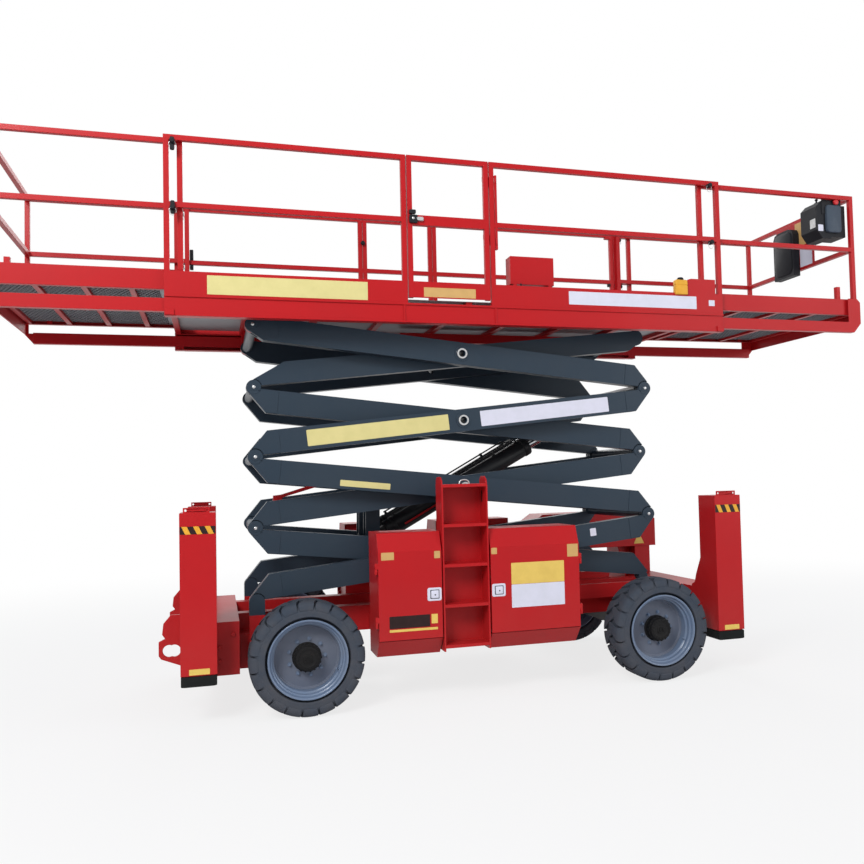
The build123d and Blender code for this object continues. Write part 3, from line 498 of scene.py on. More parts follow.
# -------- wheels
AXLE_X = {"rear": -1.465, "front": 1.395}
AXLE_Z = 0.419
WHEEL_Y = 0.9925
TREAD_RADIUS = 0.419
LUG_COUNT = 20
LUG_PITCH = 2 * math.pi * TREAD_RADIUS / LUG_COUNT
LUG_FOOT_DRAW = 0.93  # a lug's foot lies at this share of its face's distance out
BEAD = [(0.2565, -0.05), (0.2565, 0.05)]
NUT_COUNT, NUT_CIRCLE, NUT_WIDTH = 9, 0.132, 0.023
FIRST_NUT = 81  # degrees
HUB_BOLT_COUNT, HUB_BOLT_CIRCLE, HUB_RIB_CIRCLE = 18, 0.074, 0.096
# half of the tyre's section, from the bead up the side wall to the middle of the tread
WALL = [(0.257, 0.092), (0.296, 0.098), (0.303, 0.112), (0.306, 0.147), (0.311, 0.1515),
        (0.318, 0.1520), (0.326, 0.1500), (0.336, 0.1512), (0.352, 0.1495), (0.368, 0.143),
        (0.382, 0.131), (0.391, 0.115), (0.395, 0.08), (0.396, 0.0)]
# a lug's sections: distance out, radius of its face, radius of its foot, skew and half width along the tread
LUG = [(-0.024, 0.4165, 0.385, 0.060, 0.018), (0.020, 0.4188, 0.385, 0.044, 0.031),
       (0.060, 0.4190, 0.385, 0.020, 0.043), (0.100, 0.4178, 0.380, 0.000, 0.052),
       (0.125, 0.4125, 0.372, -0.008, 0.057), (0.140, 0.4020, 0.362, -0.011, 0.0585),
       (0.1485, 0.3850, 0.352, -0.012, 0.0575), (0.1520, 0.3640, 0.342, -0.012, 0.055),
       (0.1505, 0.3520, 0.340, -0.012, 0.052)]
# the rim's closed section: radius, distance out from the wheel's middle plane
RIM = [(0.2885, 0.1390), (0.2885, 0.1495), (0.2855, 0.1515), (0.2790, 0.1505), (0.2725, 0.1450),
       (0.2690, 0.1330), (0.2680, 0.1220), (0.2630, 0.1160), (0.2560, 0.1130), (0.2530, 0.1050),
       (0.2530, 0.0930), (0.2560, 0.0870), (0.2560, 0.0810), (0.2490, 0.0740), (0.2420, 0.0700),
       (0.2400, 0.0600), (0.2395, 0.0100), (0.2390, -0.1000), (0.2520, -0.1170), (0.2655, -0.1300),
       (0.2735, -0.1455), (0.2790, -0.1505), (0.2855, -0.1515), (0.2885, -0.1495), (0.2885, -0.1390),
       (0.2770, -0.1280), (0.2600, -0.1150), (0.2595, 0.1050), (0.2720, 0.1180), (0.2770, 0.1280)]
DISC = [(0.2400, 0.0080), (0.2330, 0.0070), (0.2290, 0.0010), (0.2240, -0.0045), (0.2150, -0.0040),
        (0.1800, 0.0010), (0.1450, 0.0060), (0.0980, 0.0060), (0.0980, -0.0100), (0.1450, -0.0100),
        (0.1800, -0.0150), (0.2250, -0.0210), (0.2400, -0.0210)]
HUB = [(0.107, 0.000), (0.107, 0.012), (0.098, 0.016), (0.094, 0.022), (0.094, 0.058), (0.098, 0.062),
       (0.098, 0.074), (0.093, 0.078), (0.091, 0.094), (0.086, 0.102), (0.062, 0.104), (0.058, 0.101),
       (0.036, 0.101), (0.033, 0.106), (0.001, 0.106)]


def tread_point(radius, along, out, face):
    """A point of the tyre, from its radius, its place along the tread and its distance out."""
    angle = along / TREAD_RADIUS
    return face(radius * math.sin(angle), radius * math.cos(angle), out)


def add_lug(shape, face, middle, way):
    """One shoulder lug that curves from the middle of the tread down on to the side wall."""
    rings = []
    for out, top, foot, skew, half_width in LUG:
        places = [middle + skew + half_width * k / 2 for k in (-2, -1, 0, 1, 2)]
        ring = [tread_point(top, place, way * out, face) for place in places]
        ring += [tread_point(foot, place, way * out * LUG_FOOT_DRAW, face) for place in places[::-1]]
        rings.append(ring)
    shape.skin(rings)


for end, axle_x in AXLE_X.items():
    for name, side in SIDES:
        wheel = f"{end}_{name}"

        def hub_face(u, v, w, axle_x=axle_x, side=side):
            """Faces of this wheel: w out from its middle plane."""
            return Vector((axle_x + u, side * (WHEEL_Y + w), AXLE_Z + v))

        tyre = Shape()
        outline = WALL + [(radius, -out) for radius, out in WALL[-2::-1]]
        tyre.lathe(hub_face, 0, 0, outline + BEAD, sides=96)
        for index in range(LUG_COUNT):
            add_lug(tyre, hub_face, index * LUG_PITCH, 1)
            add_lug(tyre, hub_face, (index + 0.5) * LUG_PITCH, -1)
        piece = tyre.make(f"tyre_cover_{wheel}", f"wheel_{wheel}", FINISHES["tyre"], "tyre", 0.004)
        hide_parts(f"tyre_{wheel}")

        rim = Shape()
        rim.lathe(hub_face, 0, 0, RIM, sides=96)
        rim.tube([hub_face(0.226, -0.095, 0.055), hub_face(0.214, -0.090, 0.075),
                  hub_face(0.203, -0.086, 0.100)], 0.006)
        piece = rim.make(f"wheel_rim_{wheel}", f"wheel_{wheel}", FINISHES["rim_paint"], "rim_paint", 0.0015)
        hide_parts(f"rim_{wheel}")
        disc = Shape()
        disc.lathe(hub_face, 0, 0, DISC, sides=96)
        disc.make(f"wheel_disc_{wheel}", f"wheel_{wheel}", disc_grey, "rim_paint", 0.0015)

        nuts = Shape()
        for u, v in circle(0, 0, NUT_CIRCLE, NUT_COUNT, math.radians(FIRST_NUT)):
            nuts.bolt(hub_face, u, v, NUT_WIDTH, 0.006)
            nuts.disc(hub_face, u, v, 0.007, 0.006, 0.028, 10)
        nuts.make(f"wheel_nuts_{wheel}", f"wheel_{wheel}", FINISHES["rim_paint"], "rim_paint", 0.0008)

        hub = Shape()
        hub.cap(hub_face, 0, 0, HUB, sides=64)
        for index, (u, v) in enumerate(circle(0, 0, 1, HUB_BOLT_COUNT)):
            turn = 2 * math.pi * index / HUB_BOLT_COUNT
            hub.bolt(hub_face, HUB_BOLT_CIRCLE * u, HUB_BOLT_CIRCLE * v, 0.012, 0.102, turn)
            hub.disc(hub_face, HUB_RIB_CIRCLE * u, HUB_RIB_CIRCLE * v, 0.008, 0.050, 0.078, 12)
        for u, v in ((0.024, -0.012), (-0.020, -0.022)):
            hub.bolt(hub_face, u, v, 0.014, 0.104)
        hub.lathe(hub_face, 0, 0, [(0.018, 0.104), (0.018, 0.112), (0.012, 0.112), (0.012, 0.104)], 32)
        hub.make(f"wheel_hub_{wheel}", f"wheel_{wheel}", FINISHES["cast_black"], "cast_black", 0.0012)

# -------- scissor arms
ARM_SPAN, STACK_PITCH, REST_RISE = 3.368, 0.2, 0.5526
TOP_DROP = 0.08
STAGES = 4
FIXED_X, BASE_Z = -1.8, 0.803
ARM_LOW, ARM_HIGH = 0.0075, 0.1925
EAR_BEVEL = 0.041
OUTER_Y, INNER_Y, ARM_HALF = 0.630, 0.495, 0.050
rest_angle = math.asin(REST_RISE / ARM_SPAN)
tilt = rest_angle - math.asin(STACK_PITCH / ARM_SPAN)
body_length = math.sqrt(ARM_SPAN ** 2 - STACK_PITCH ** 2)
far_x = FIXED_X + ARM_SPAN * math.cos(rest_angle)


def arm_face(stage, from_fixed, side):
    """An arm's own plane: u along its body from the lower pin, v across its depth, w out from the middle."""
    pin_x, way = (FIXED_X, 1) if from_fixed else (far_x, -1)
    pin_z = BASE_Z + stage * REST_RISE

    def place(u, v, w):
        return Vector((pin_x + way * (u * math.cos(tilt) - v * math.sin(tilt)), side * w,
                       pin_z + u * math.sin(tilt) + v * math.cos(tilt)))
    return place


DOUBLER = 0.196  # length of the welded end plates, and how they lie on the arm's face
PLATE_LOW, PLATE_HIGH = -0.002, 0.004
INSET = 0.003  # how far they stay inside the arm's edges
FORK_RADIUS = 0.066
ARC_STEPS = 8


def lower_doubler():
    """Outline of the plate on an arm's lower end, which clears the fork it sits in."""
    first, last = math.asin((ARM_LOW + INSET) / FORK_RADIUS), math.radians(106)
    angles = [first + (last - first) * k / ARC_STEPS for k in range(ARC_STEPS + 1)]
    arc = [(FORK_RADIUS * math.cos(angle), FORK_RADIUS * math.sin(angle)) for angle in angles]
    top = ARM_HIGH - INSET
    return arc + [(top - 2 * EAR_BEVEL + INSET * 1.5, top), (DOUBLER, top), (DOUBLER, ARM_LOW + INSET)]


def upper_doubler(tip_v, top_stage):
    """Outline of the plate on an arm's upper end, less the round of its ear."""
    low, high = ARM_LOW + INSET, ARM_HIGH - INSET
    if top_stage:
        return [(body_length - DOUBLER, low), (body_length - 0.085, low),
                (body_length + 0.037, tip_v - 0.037), (body_length + 0.037, tip_v + 0.036),
                (body_length - 0.02, high), (body_length - DOUBLER, high)]
    return [(body_length - DOUBLER, low), (body_length - 0.107, low),
            (body_length + 0.037, tip_v - EAR_BEVEL), (body_length, high), (body_length - DOUBLER, high)]


for stage in range(STAGES):
    for kind, middle_y in (("outer", OUTER_Y), ("inner", INNER_Y)):
        from_fixed = (stage % 2 == 0) == (kind == "outer")
        top_stage = stage == STAGES - 1
        tip_v = STACK_PITCH - (TOP_DROP if top_stage else 0)
        low_roller = stage == 0 and not from_fixed
        high_roller = top_stage and from_fixed
        body = f"{kind}_arms_{stage + 1}"
        plates, pins, rings = Shape(), Shape(), Shape()
        for name, side in SIDES:
            face = arm_face(stage, from_fixed, side)
            out = middle_y + ARM_HALF
            # none on the sliding foot, nor on inner_arms_4, where it would meet outer_arms_4 when folded
            if not (low_roller or high_roller):
                plates.slab(face, lower_doubler(), out + PLATE_LOW, out + PLATE_HIGH)
            if not high_roller:
                plates.slab(face, upper_doubler(tip_v, top_stage), out + PLATE_LOW, out + PLATE_HIGH)
                plates.disc(face, body_length, tip_v, 0.055, out - 0.002, out + 0.007, 40)
                pins.disc(face, body_length, tip_v, 0.030, out + 0.006, out + 0.010, 32)
                pins.bolt(face, body_length - 0.042, tip_v - 0.018, 0.014, out + 0.006)
                rings.cap(face, body_length, tip_v, ((0.013, out + 0.009), (0.013, out + 0.014),
                                                     (0.010, out + 0.016)), 20)
            if kind == "outer":
                middle = (body_length / 2, STACK_PITCH / 2)
                face_out = out + 0.012
                plates.lathe(face, *middle, [(0.062, out - 0.002), (0.062, out + 0.005),
                                             (0.043, out + 0.005), (0.043, out - 0.002)], 40)
                rings.lathe(face, *middle, [(0.043, face_out - 0.004), (0.043, face_out + 0.002),
                                            (0.029, face_out + 0.002), (0.029, face_out - 0.004)], 40)
        plates.make(f"{body}_end_plates", body, slate_paint, "slate_paint", 0.0012)
        pins.make(f"{body}_pin_keepers", body, slate_paint, "slate_paint", 0.0008)
        rings.make(f"{body}_pin_ends", body, zinc, bevel=0.001)

# blank labels on the arms: body, stage, from the fixed side, span along, span across, material, word
ARM_LABELS = (
    ("outer_arms_3", 2, True, (0.405, 1.555), (0.034, 0.162), cream, "wide"),
    ("outer_arms_3", 2, True, (1.83, 2.995), (0.032, 0.160), white, "wide_pale"),
    ("outer_arms_2", 1, False, (2.30, 2.70), (0.030, 0.078), cream, "narrow"),
    ("outer_arms_1", 0, True, (2.792, 2.847), (0.085, 0.150), white, "small"),
)
for body, stage, from_fixed, along, across, paint, word in ARM_LABELS:
    for name, side in SIDES:
        label(f"{body}_label_{word}_{name}", body, arm_face(stage, from_fixed, side), along, across,
              OUTER_Y + ARM_HALF, paint, radius=0.006, sunk=0)

# -------- chassis: feet, bands and stickers
COLUMN_X = {"rear": (-2.339, -2.094), "front": (1.922, 2.167)}
COLUMN_OUT = 1.120
FOOT_OUT = (0.851, 1.119)
FOOT_FIT = 0.0015
BAND_Z = {"rear": (1.357, 1.412), "front": (1.363, 1.427)}
STRIPES, STRIPE_PITCH, STRIPE_WIDTH, STRIPE_LEAN = 3, 0.078, 0.036, 0.026
COLUMN_LABEL_Z = (0.376, 0.416)
# the foot's sections: height and how far they are drawn in
FOOT = ((0.2850, 0.060), (0.2856, 0.040), (0.2885, 0.020), (0.2930, 0.006), (0.2965, 0.001), (0.3050, 0.000),
        (0.3600, 0.000), (0.3640, 0.004))

for end, (low_x, high_x) in COLUMN_X.items():
    for name, side in SIDES:
        face = side_face(side)
        foot = Shape()
        rings = []
        for z, inset in FOOT:
            outline = rounded(span(low_x, high_x, inset + FOOT_FIT),
                              span(side * FOOT_OUT[0], side * FOOT_OUT[1], inset), 0.006)
            rings.append([top_face(u, v, z) for u, v in outline])
        foot.skin(rings)
        foot.make(f"foot_pad_{end}_{name}", f"leg_{end}_{name}", foot_rubber, "black_plastic")
        low_z, high_z = BAND_Z[end]
        label(f"band_base_{end}_{name}", "chassis", face, (low_x + 0.003, high_x - 0.003), BAND_Z[end],
              COLUMN_OUT, dark, 0.001, 0.0008)
        stripes = Shape()
        for index in range(STRIPES):
            u = low_x + 0.014 + index * STRIPE_PITCH
            foot_u = u + STRIPE_LEAN
            stripes.slab(face, [(u, high_z), (u + STRIPE_WIDTH, high_z), (foot_u + STRIPE_WIDTH, low_z),
                                (foot_u, low_z)], COLUMN_OUT + 0.0006, COLUMN_OUT + 0.0016)
        stripes.make(f"band_stripes_{end}_{name}", "chassis", orange)
        label(f"column_label_{end}_{name}", "chassis", face, (low_x + 0.057, high_x - 0.050),
              COLUMN_LABEL_Z, COLUMN_OUT, yellow)

LOOP_RADIUS = 0.006
LADDER_LOOP_Y, HOOD_LOOP_Y = -1.03, 0.7015
bent_bar("ladder_loop", "chassis",
         [(x, LADDER_LOOP_Y, z) for x, z in ((-0.281, 1.640), (-0.280, 1.670), (-0.262, 1.690),
                                             (-0.221, 1.690), (-0.203, 1.670), (-0.202, 1.640))],
         LOOP_RADIUS, zinc)
bent_bar("hood_loop", "chassis",
         [(x, HOOD_LOOP_Y, z) for x, z in ((1.041, 1.211), (1.044, 1.262), (1.066, 1.290),
                                           (1.106, 1.290), (1.127, 1.262), (1.130, 1.211))],
         LOOP_RADIUS, red_paint)
sticker = Shape()
sticker.slab(side_face(1), [(2.043, 0.985), (2.158, 0.985), (2.1005, 1.102)], 0.6985, 0.7004)
sticker.make("hood_sticker", "chassis", yellow)

# -------- doors: latches, signs and stickers
DOOR_OUT = 1.120
LATCH_AT = {"rear": (-0.518, 0.831), "front": (-0.006, 0.831)}
# blank stickers on the doors: word, door, span along, span up, material
DOOR_LABELS = (
    ("low", "rear", (-0.921, -0.824), (1.105, 1.162), tan),
    ("high", "rear", (-0.515, -0.469), (1.102, 1.157), tan),
    ("strip", "rear", (-0.867, -0.497), (0.566, 0.584), yellow),
    ("square", "rear", (-0.545, -0.497), (0.612, 0.683), yellow),
    ("plate", "rear", (-0.867, -0.556), (0.592, 0.683), dark),
    ("small", "front", (-0.060, -0.014), (1.110, 1.159), tan),
    ("large", "front", (0.572, 0.664), (1.060, 1.160), tan),
    ("sign_top", "front", (0.099, 0.541), (0.868, 1.034), yellow),
    ("sign_low", "front", (0.099, 0.541), (0.687, 0.866), white),
)
for name, side in SIDES:
    face = side_face(side)
    for word, end, along, height, paint in DOOR_LABELS:
        label(f"door_label_{end}_{name}_{word}", f"door_{end}_{name}", face, along, height, DOOR_OUT, paint)
    for end, (u, v) in LATCH_AT.items():
        body = f"door_{end}_{name}"
        plate, paddle_gap_shade, paddle, keyhole = Shape(), Shape(), Shape(), Shape()
        plate.skin([[face(a, b, DOOR_OUT + w)
                     for a, b in rounded((u - half, u + half), (v - half * 0.9, v + half * 0.9), 0.014, 5)]
                    for w, half in ((-0.001, 0.055), (0.002, 0.055), (0.0035, 0.0535))])
        plate.make(f"latch_plate_{end}_{name}", body, white)
        # a thin black sheet round the paddle: painted shade of the gap between the paddle and its housing
        paddle_gap_shade.slab(face, rounded((u - 0.033, u + 0.037), (v - 0.034, v + 0.034), 0.005), DOOR_OUT + 0.003,
                  DOOR_OUT + 0.0045)
        paddle_gap_shade.make(f"latch_well_{end}_{name}", body, black_plastic)
        paddle.skin([[face(a, b, DOOR_OUT + w)
                      for a, b in rounded((u + 0.002 - half, u + 0.002 + half), (v - half, v + half),
                                          0.004, 5)]
                     for w, half in ((0.004, 0.029), (0.008, 0.029), (0.0095, 0.026))])
        paddle.make(f"latch_paddle_{end}_{name}", body, white)
        keyhole.disc(face, u + 0.004, v - 0.004, 0.0055, DOOR_OUT + 0.0090, DOOR_OUT + 0.0105, 20)
        keyhole.make(f"latch_key_{end}_{name}", body, black_plastic)

# -------- engine behind the left door
FIN_COUNT, FIN_PITCH, FIN_THICK, FIRST_FIN_X = 9, 0.030, 0.010, 0.085
FIN_Y, FIN_Z = (0.730, 1.010), (0.640, 0.860)
COVER_X, COVER_Y, COVER_Z = (0.10, 0.34), (0.79, 0.95), (1.078, 1.115)
# place, profile of (radius, distance out) and sides of the air filter and the oil filter
AIR_FILTER = (0.46, 0.86), [(0.060, 0.99), (0.070, 1.00), (0.070, 1.035), (0.062, 1.045), (0.030, 1.045),
                            (0.028, 1.052)], 40
OIL_FILTER = (0.20, 0.62), [(0.045, 0.99), (0.052, 1.00), (0.052, 1.050), (0.048, 1.060)], 32
INTAKE = [(0.46, 0.93, 1.05), (0.46, 0.94, 1.13), (0.50, 0.90, 1.19), (0.58, 0.84, 1.20)]

fins, cover, filters = Shape(), Shape(), Shape()
for index in range(FIN_COUNT):
    x = FIRST_FIN_X + index * FIN_PITCH
    fins.slab(end_face, rounded(FIN_Y, FIN_Z, 0.02), x, x + FIN_THICK)
fins.make("engine_fins", "chassis", FINISHES["cast_black"], bevel=0.002)
cover.slab(top_face, rounded(COVER_X, COVER_Y, 0.03, 6), *COVER_Z)
for x in (0.13, 0.22, 0.31):
    for y in (0.81, 0.93):
        cover.bolt(top_face, x, y, 0.016, COVER_Z[1] - 0.001)
cover.make("engine_cover", "chassis", blue_grey, bevel=0.004)
for (x, z), profile, sides in (AIR_FILTER, OIL_FILTER):
    filters.cap(side_face(1), x, z, profile, sides)
filters.tube(blend_line(INTAKE), 0.028, 20)
filters.make("engine_filters", "chassis", black_plastic, bevel=0.002)

# -------- lift cylinders
BARREL_PIN = Vector((-0.838, 0.0, 1.210))
BARREL_AXIS = Vector((0.875669594, 0.0, 0.482910719))
BARREL_UP = Vector((-0.482910719, 0.0, 0.875669594))
BARREL_Y = 0.190
GLAND = [(0.079, 1.556), (0.0855, 1.562), (0.0855, 1.604), (0.083, 1.611), (0.080, 1.6175), (0.0480, 1.6175),
         (0.0480, 1.6165), (0.078, 1.6165)]
COLLAR = [(0.079, 0.205), (0.0845, 0.210), (0.0845, 0.236), (0.079, 0.241)]
# height over the barrel's axis and place along it
PIPE = ((0.076, 0.268), (0.098, 0.272), (0.100, 0.310), (0.098, 0.90), (0.100, 1.470), (0.096, 1.530),
        (0.076, 1.540))
PIPE_ENDS, PIPE_CLIPS, CLIP_HALF = (0.268, 1.540), (0.50, 0.90, 1.30), 0.010
for name, side in SIDES:
    def barrel_face(u, v, w, middle=side * BARREL_Y, way=side):
        """Round the barrel's axis: u outward, v up across it, w along it from the pin."""
        return BARREL_PIN + BARREL_AXIS * w + BARREL_UP * v + Vector((0, middle + way * u, 0))

    gland, pipe, strip = Shape(), Shape(), Shape()
    gland.lathe(barrel_face, 0, 0, GLAND, 56)
    gland.lathe(barrel_face, 0, 0, COLLAR, 56)
    gland.make(f"cylinder_gland_{name}", "lift_barrels", black_paint, bevel=0.001)
    pipe.tube(blend_line([barrel_face(0, height, along) for height, along in PIPE]), 0.007, 12)
    for along in PIPE_ENDS:
        pipe.cap(lambda a, b, w, along=along: barrel_face(a, w, along + b), 0, 0,
                 [(0.016, 0.074), (0.016, 0.084), (0.011, 0.086), (0.011, 0.094)], 6)
    for along in PIPE_CLIPS:
        pipe.slab(barrel_face, rounded((-0.014, 0.014), (0.074, 0.108), 0.006), along - CLIP_HALF,
                  along + CLIP_HALF)
    pipe.make(f"cylinder_pipe_{name}", "lift_barrels", black_paint)
    strip.slab(lambda a, b, w: barrel_face(w, b, a), rounded((0.30, 0.66), (-0.034, -0.018), 0.003),
               0.070, 0.0835)
    strip.make(f"cylinder_strip_{name}", "lift_barrels", red_paint)

# -------- platform
TOE_OUT = 0.915  # outer face of the deck's side beams, toe boards and posts
SUNK = 0.001  # how far a fitting is let into the face it stands on
# blank signs on the toe boards: word, span along, span up, material
TOE_LABELS = (("rear", (-2.137, -0.950), (3.106, 3.248), cream),
              ("front", (0.733, 1.934), (3.133, 3.244), white),
              ("small", (2.056, 2.114), (3.166, 3.217), white))
# pull pins on the end posts: word, place along, heights
PULL_PINS = (("front", 2.087, (3.728, 4.235)), ("rear", -2.370, (3.732, 4.226)))
HOLDER = [(0.020, -0.002), (0.020, 0.006), (0.014, 0.010), (0.014, 0.030), (0.019, 0.034), (0.019, 0.046),
          (0.014, 0.052)]
RING_HALF_WIDTH, RING_HALF_HEIGHT, RING_DROP, RING_OUT, WIRE_RADIUS = 0.024, 0.030, 0.026, 0.020, 0.0022
BUMPER_X, BUMPER_Z = ((2.128, 2.194), (-2.433, -2.367)), (2.945, 2.990)
for name, side in SIDES:
    face = side_face(side)
    for word, along, height, paint in TOE_LABELS:
        label(f"toe_label_{word}_{name}", "platform", face, along, height, TOE_OUT, paint)
    for word, x, heights in PULL_PINS:
        holder, ring = Shape(), Shape()
        for z in heights:
            holder.cap(face, x, z, [(radius, TOE_OUT + w) for radius, w in HOLDER], 24)
            rows = []
            for a, b in circle(0, 0, 1, 24):
                u, v = x + RING_HALF_WIDTH * b, z - RING_DROP - RING_HALF_HEIGHT * a
                rows.append([face(u + p * b, v + p, TOE_OUT + RING_OUT + q)
                             for p, q in circle(0, 0, WIRE_RADIUS, 8)])
            ring.skin(rows, closed=True)
        holder.make(f"pin_holders_{word}_{name}", "platform", black_plastic, bevel=0.0008)
        ring.make(f"pin_rings_{word}_{name}", "platform", zinc)
    bumper = Shape()
    for along in BUMPER_X:
        bumper.slab(face, rounded(along, BUMPER_Z, 0.008), TOE_OUT - SUNK, TOE_OUT + 0.014)
    bumper.make(f"slide_bumpers_{name}", "platform", red_paint, bevel=0.002)

LAMP_X, LAMP_Y = (1.725, 1.845), (-0.940, -0.878)
# the lamp's sections: height and how far they are drawn in
LAMP = ((3.255, 0.004), (3.259, 0.0), (3.330, 0.0), (3.334, 0.003), (3.340, 0.003), (3.344, 0.0),
        (3.378, 0.002), (3.384, 0.008))
DOME_AT = (1.785, -0.909)
DOME = [(0.030, 3.383), (0.030, 3.390), (0.027, 3.399), (0.020, 3.406), (0.008, 3.409)]
lamp, dome = Shape(), Shape()
lamp.skin([[top_face(u, v, z) for u, v in rounded(span(*LAMP_X, inset), span(*LAMP_Y, inset), 0.014, 6)]
           for z, inset in LAMP])
lamp.make("lamp_body", "platform", orange)
dome.cap(top_face, *DOME_AT, DOME)
dome.make("lamp_dome", "platform", black_plastic)
bent_bar("tool_box_hook", "platform",
         [(0.343, -0.826, 3.310), (0.343, -0.832, 3.290), (0.343, -0.834, 3.250), (0.347, -0.834, 3.225),
          (0.365, -0.834, 3.212), (0.377, -0.834, 3.226), (0.369, -0.834, 3.242)], 0.006, black_plastic, 10)

# raised studs of the tread plates: body, span along, span across, floor height
STUDDED = (("platform", (-2.28, 2.10), (-0.80, 0.80), 3.136),
           ("extension_rear", (-3.60, -2.48), (-0.78, 0.78), 3.181),
           ("extension_front", (2.24, 3.60), (-0.78, 0.78), 3.181))
STUD_PITCH, STUD_RISE, STUD_LONG, STUD_WIDE = 0.050, 0.001, 0.016, 0.004
for body, along, across, floor_z in STUDDED:
    studs = Shape()
    for row in range(int((across[1] - across[0]) / STUD_PITCH) + 1):
        for column in range(int((along[1] - along[0]) / STUD_PITCH) + 1):
            x, y = along[0] + column * STUD_PITCH, across[0] + row * STUD_PITCH
            if body == "platform" and 0.24 < x < 0.66 and y < -0.68:  # the tool box stands here
                continue
            slant = math.radians(45 if (row + column) % 2 else -45)
            cos, sin = math.cos(slant), math.sin(slant)
            ring = [(x + u * cos - v * sin, y + u * sin + v * cos)
                    for u, v in ((STUD_LONG, 0), (0, STUD_WIDE), (-STUD_LONG, 0), (0, -STUD_WIDE))]
            studs.slab(top_face, ring, floor_z - 0.0005, floor_z + STUD_RISE)
    studs.make(f"{body}_studs", body, FINISHES["deck_steel"], "deck_steel")

# -------- gate
near = side_face(-1)
label("gate_label", "gate", near, (-0.503, -0.076), (3.150, 3.226), TOE_OUT, tan)
latch, paddle = Shape(), Shape()
latch.slab(near, rounded((-0.612, -0.545), (3.735, 3.800), 0.010), TOE_OUT - SUNK, TOE_OUT + 0.022)
latch.slab(near, rounded((-0.612, -0.560), (3.806, 3.838), 0.008), TOE_OUT - SUNK, TOE_OUT + 0.030)
latch.make("gate_latch", "gate", black_plastic, bevel=0.003)
paddle.skin([[near(u, v, TOE_OUT + w)
              for u, v in rounded((-0.548 - inset, -0.496 - inset), span(3.752, 3.786, inset), 0.012, 5)]
             for w, inset in ((0.0, 0.0), (0.018, 0.0), (0.024, 0.004))])
paddle.cap(near, -0.582, 3.770,
           [(0.010, TOE_OUT + 0.020), (0.010, TOE_OUT + 0.026), (0.007, TOE_OUT + 0.028)], 20)
paddle.make("gate_latch_paddle", "gate", zinc, bevel=0.001)

# -------- mesh under the extension decks
MESH_STEP, MESH_LEAN, MESH_HALF, MESH_Z, MESH_RADIUS = 0.034, 0.42, 0.80, 3.1715, 0.0035
SHORTEST_WIRE = 0.02  # as a share of a whole wire
MESH_SWING = MESH_LEAN * 2 * MESH_HALF
for body, (low_x, high_x) in (("extension_front", (2.24, 3.60)), ("extension_rear", (-3.60, -2.48))):
    lattice = Shape()
    for way in (1, -1):
        for index in range(int((high_x - low_x + MESH_SWING) / MESH_STEP)):
            x0 = low_x - (MESH_SWING if way > 0 else 0) + index * MESH_STEP
            x1 = x0 + MESH_SWING * way
            first, last = sorted((x - x0) / (x1 - x0) for x in (low_x, high_x))
            first, last = max(0.0, first), min(1.0, last)
            if last - first >= SHORTEST_WIRE:
                wire = [(x0 + (x1 - x0) * t, 2 * MESH_HALF * t - MESH_HALF, MESH_Z) for t in (first, last)]
                lattice.tube(wire, MESH_RADIUS, 4)
    lattice.make(f"{body}_mesh", body, mesh_steel)

# ladder cheek's slot: a thin dark sheet that paints the shade seen through the slot
slot = Shape()
slot.slab(end_face, rounded((-1.017, -0.985), (1.514, 1.608), 0.012), -0.0925, -0.0915)
slot.make("ladder_slot_painted_shade", "chassis", dark)

# -------- control and document boxes
PANEL_OUT, HOOK_OUT = 0.820, 0.828
CONSOLE = "extension_front"
cover, knob, clip, stick, plate, lid = (Shape() for _ in range(6))
cover.skin([[near(u, v, w)
             for u, v in rounded(span(3.385, 3.548, inset), span(3.925, 4.186, inset), 0.030, 6)]
            for w, inset in ((0.806, 0.0), (0.838, 0.0), (0.846, 0.003), (0.850, 0.010))])
cover.make("control_cover", CONSOLE, blue_grey)
label("control_label", CONSOLE, near, (3.304, 3.360), (3.937, 3.998), PANEL_OUT, white)
knob.cap(near, 3.490, 4.214, [(radius, HOOK_OUT + w) for radius, w in (
    (0.013, -0.002), (0.013, 0.008), (0.026, 0.010), (0.0275, 0.016), (0.0275, 0.024), (0.022, 0.031),
    (0.006, 0.034))], 32)
knob.make("stop_knob", CONSOLE, knob_red)
clip.slab(end_face, rounded((-0.8677, -0.8265), (4.2440, 4.2755), 0.006), 3.448, 3.536)
clip.make("rail_clip", CONSOLE, black_plastic, bevel=0.002)
stick.cap(top_face, 3.395, -0.690, [
    (0.036, 4.222), (0.036, 4.229), (0.030, 4.232), (0.027, 4.236), (0.024, 4.2375), (0.022, 4.242),
    (0.013, 4.247), (0.0085, 4.249), (0.0085, 4.264), (0.014, 4.267), (0.016, 4.275), (0.012, 4.281),
    (0.004, 4.283)], 28)
stick.make("joystick", CONSOLE, black_plastic)
KEY_X, KEY_Y, KEY_PITCH = 3.372, -0.610, 0.034
for index, paint in enumerate((yellow, knob_red, zinc, zinc)):
    key = Shape()
    key.cap(top_face, KEY_X + KEY_PITCH * (index % 2), KEY_Y - KEY_PITCH * (index // 2),
            [(0.012, 4.223), (0.012, 4.227), (0.009, 4.228), (0.009, 4.232), (0.007, 4.234)], 20)
    key.make(f"control_key_{index}", CONSOLE, paint)
plate.slab(end_face, rounded((-0.802, -0.722), (3.975, 4.060), 0.006), 3.2886, 3.2905)
plate.make("control_plate", CONSOLE, zinc)
lid.skin([[end_face(u, v, x)
           for u, v in rounded(span(-0.085, 0.207, inset), span(3.715, 4.155, inset), 0.070, 8)]
          for x, inset in ((3.5400, 0.0), (3.5345, 0.0), (3.5315, 0.004))])
lid.make("document_lid", CONSOLE, black_plastic)
for word, across, height, paint in (("top", (-0.218, -0.042), (3.990, 4.232), tan),
                                    ("low", (-0.304, -0.112), (3.770, 3.962), white)):
    label(f"papers_label_{word}", CONSOLE, end_face, across, height, 3.6155, paint, thick=0.0019, sunk=0)

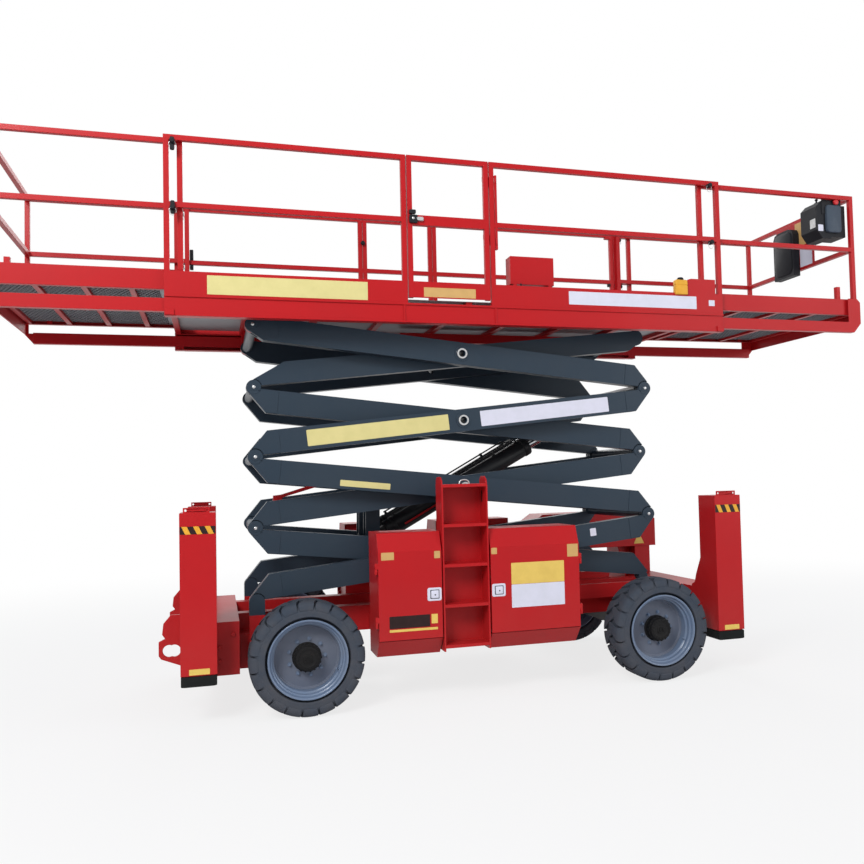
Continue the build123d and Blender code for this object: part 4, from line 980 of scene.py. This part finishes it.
# -------- lips, ribs and grips of the deck's sides
LIP_OUT = TOE_OUT + 0.011
LIPS = (((-2.435, 2.196), (3.080, 3.096)), ((-2.355, 2.116), (2.9405, 2.952)))
RIB_X, RIB_WIDTH, RIB_Z = (-0.668, 0.084), 0.012, (2.948, 3.084)
END_BEAM_OUT = 0.8375
END_BEAM_BOLTS = ((-2.076, 0.504), (-2.077, 0.406), (-1.980, 0.598))
GRIP_X, GRIP_HALF, GRIPS_Z = (-2.387, -2.355), 0.048, (4.211, 3.737)
for name, side in SIDES:
    face = side_face(side)
    lips, bolts, grips = Shape(), Shape(), Shape()
    for along, height in LIPS:
        lips.slab(face, rounded(along, height, 0.004), TOE_OUT - SUNK, LIP_OUT)
    for x in RIB_X:
        high_x = x + RIB_WIDTH
        lips.slab(face, [(x, RIB_Z[0]), (high_x, RIB_Z[0]), (high_x, RIB_Z[1]), (x, RIB_Z[1])],
                  TOE_OUT - SUNK, LIP_OUT - 0.001)
    lips.make(f"beam_lips_{name}", "platform", red_paint, bevel=0.0015)
    for x, z in END_BEAM_BOLTS:
        bolts.bolt(face, x, z, 0.030, END_BEAM_OUT)
    bolts.make(f"end_beam_bolts_{name}", "chassis", red_paint)
    for z in GRIPS_Z:
        grips.slab(face, rounded(GRIP_X, (z - GRIP_HALF, z + GRIP_HALF), 0.012), TOE_OUT - SUNK,
                   TOE_OUT + 0.026)
    grips.make(f"pin_grips_{name}", "platform", black_plastic, bevel=0.003)

# -------- fold sleeve, shoes and knob of the left rail
left = side_face(1)
SLEEVE_OUT = 0.9185
sleeve, shoes, knob, strip = Shape(), Shape(), Shape(), Shape()
sleeve.slab(left, rounded((1.900, 2.085), (4.226, 4.2835), 0.006), 0.8755, SLEEVE_OUT)
sleeve.make("fold_sleeve", "platform", red_paint, bevel=0.002)
shoes.slab(left, rounded((1.925, 2.060), (3.716, 3.748), 0.006), 0.8765, SLEEVE_OUT)
shoes.slab(left, rounded((-2.300, -2.268), (3.700, 3.885), 0.008), 0.8800, 0.9200)
shoes.make("fold_shoes", "platform", black_plastic, bevel=0.002)
knob.cap(left, -0.6975, 4.030,
         [(0.014, 0.842), (0.021, 0.847), (0.021, 0.860), (0.010, 0.864), (0.010, 0.876)], 24)
knob.make("fold_knob", "platform", black_plastic)

# strip and knuckles beside the gate's hinges
strip.slab(near, rounded((0.1035, 0.1235), (3.561, 4.176), 0.004), 0.886, 0.9165)
for z in (3.600, 4.110):
    strip.cap(top_face, 0.1135, -0.917,
              [(0.008, z), (0.009, z + 0.002), (0.009, z + 0.048), (0.008, z + 0.050)], 16)
strip.make("hinge_strip", "platform", red_paint, bevel=0.001)
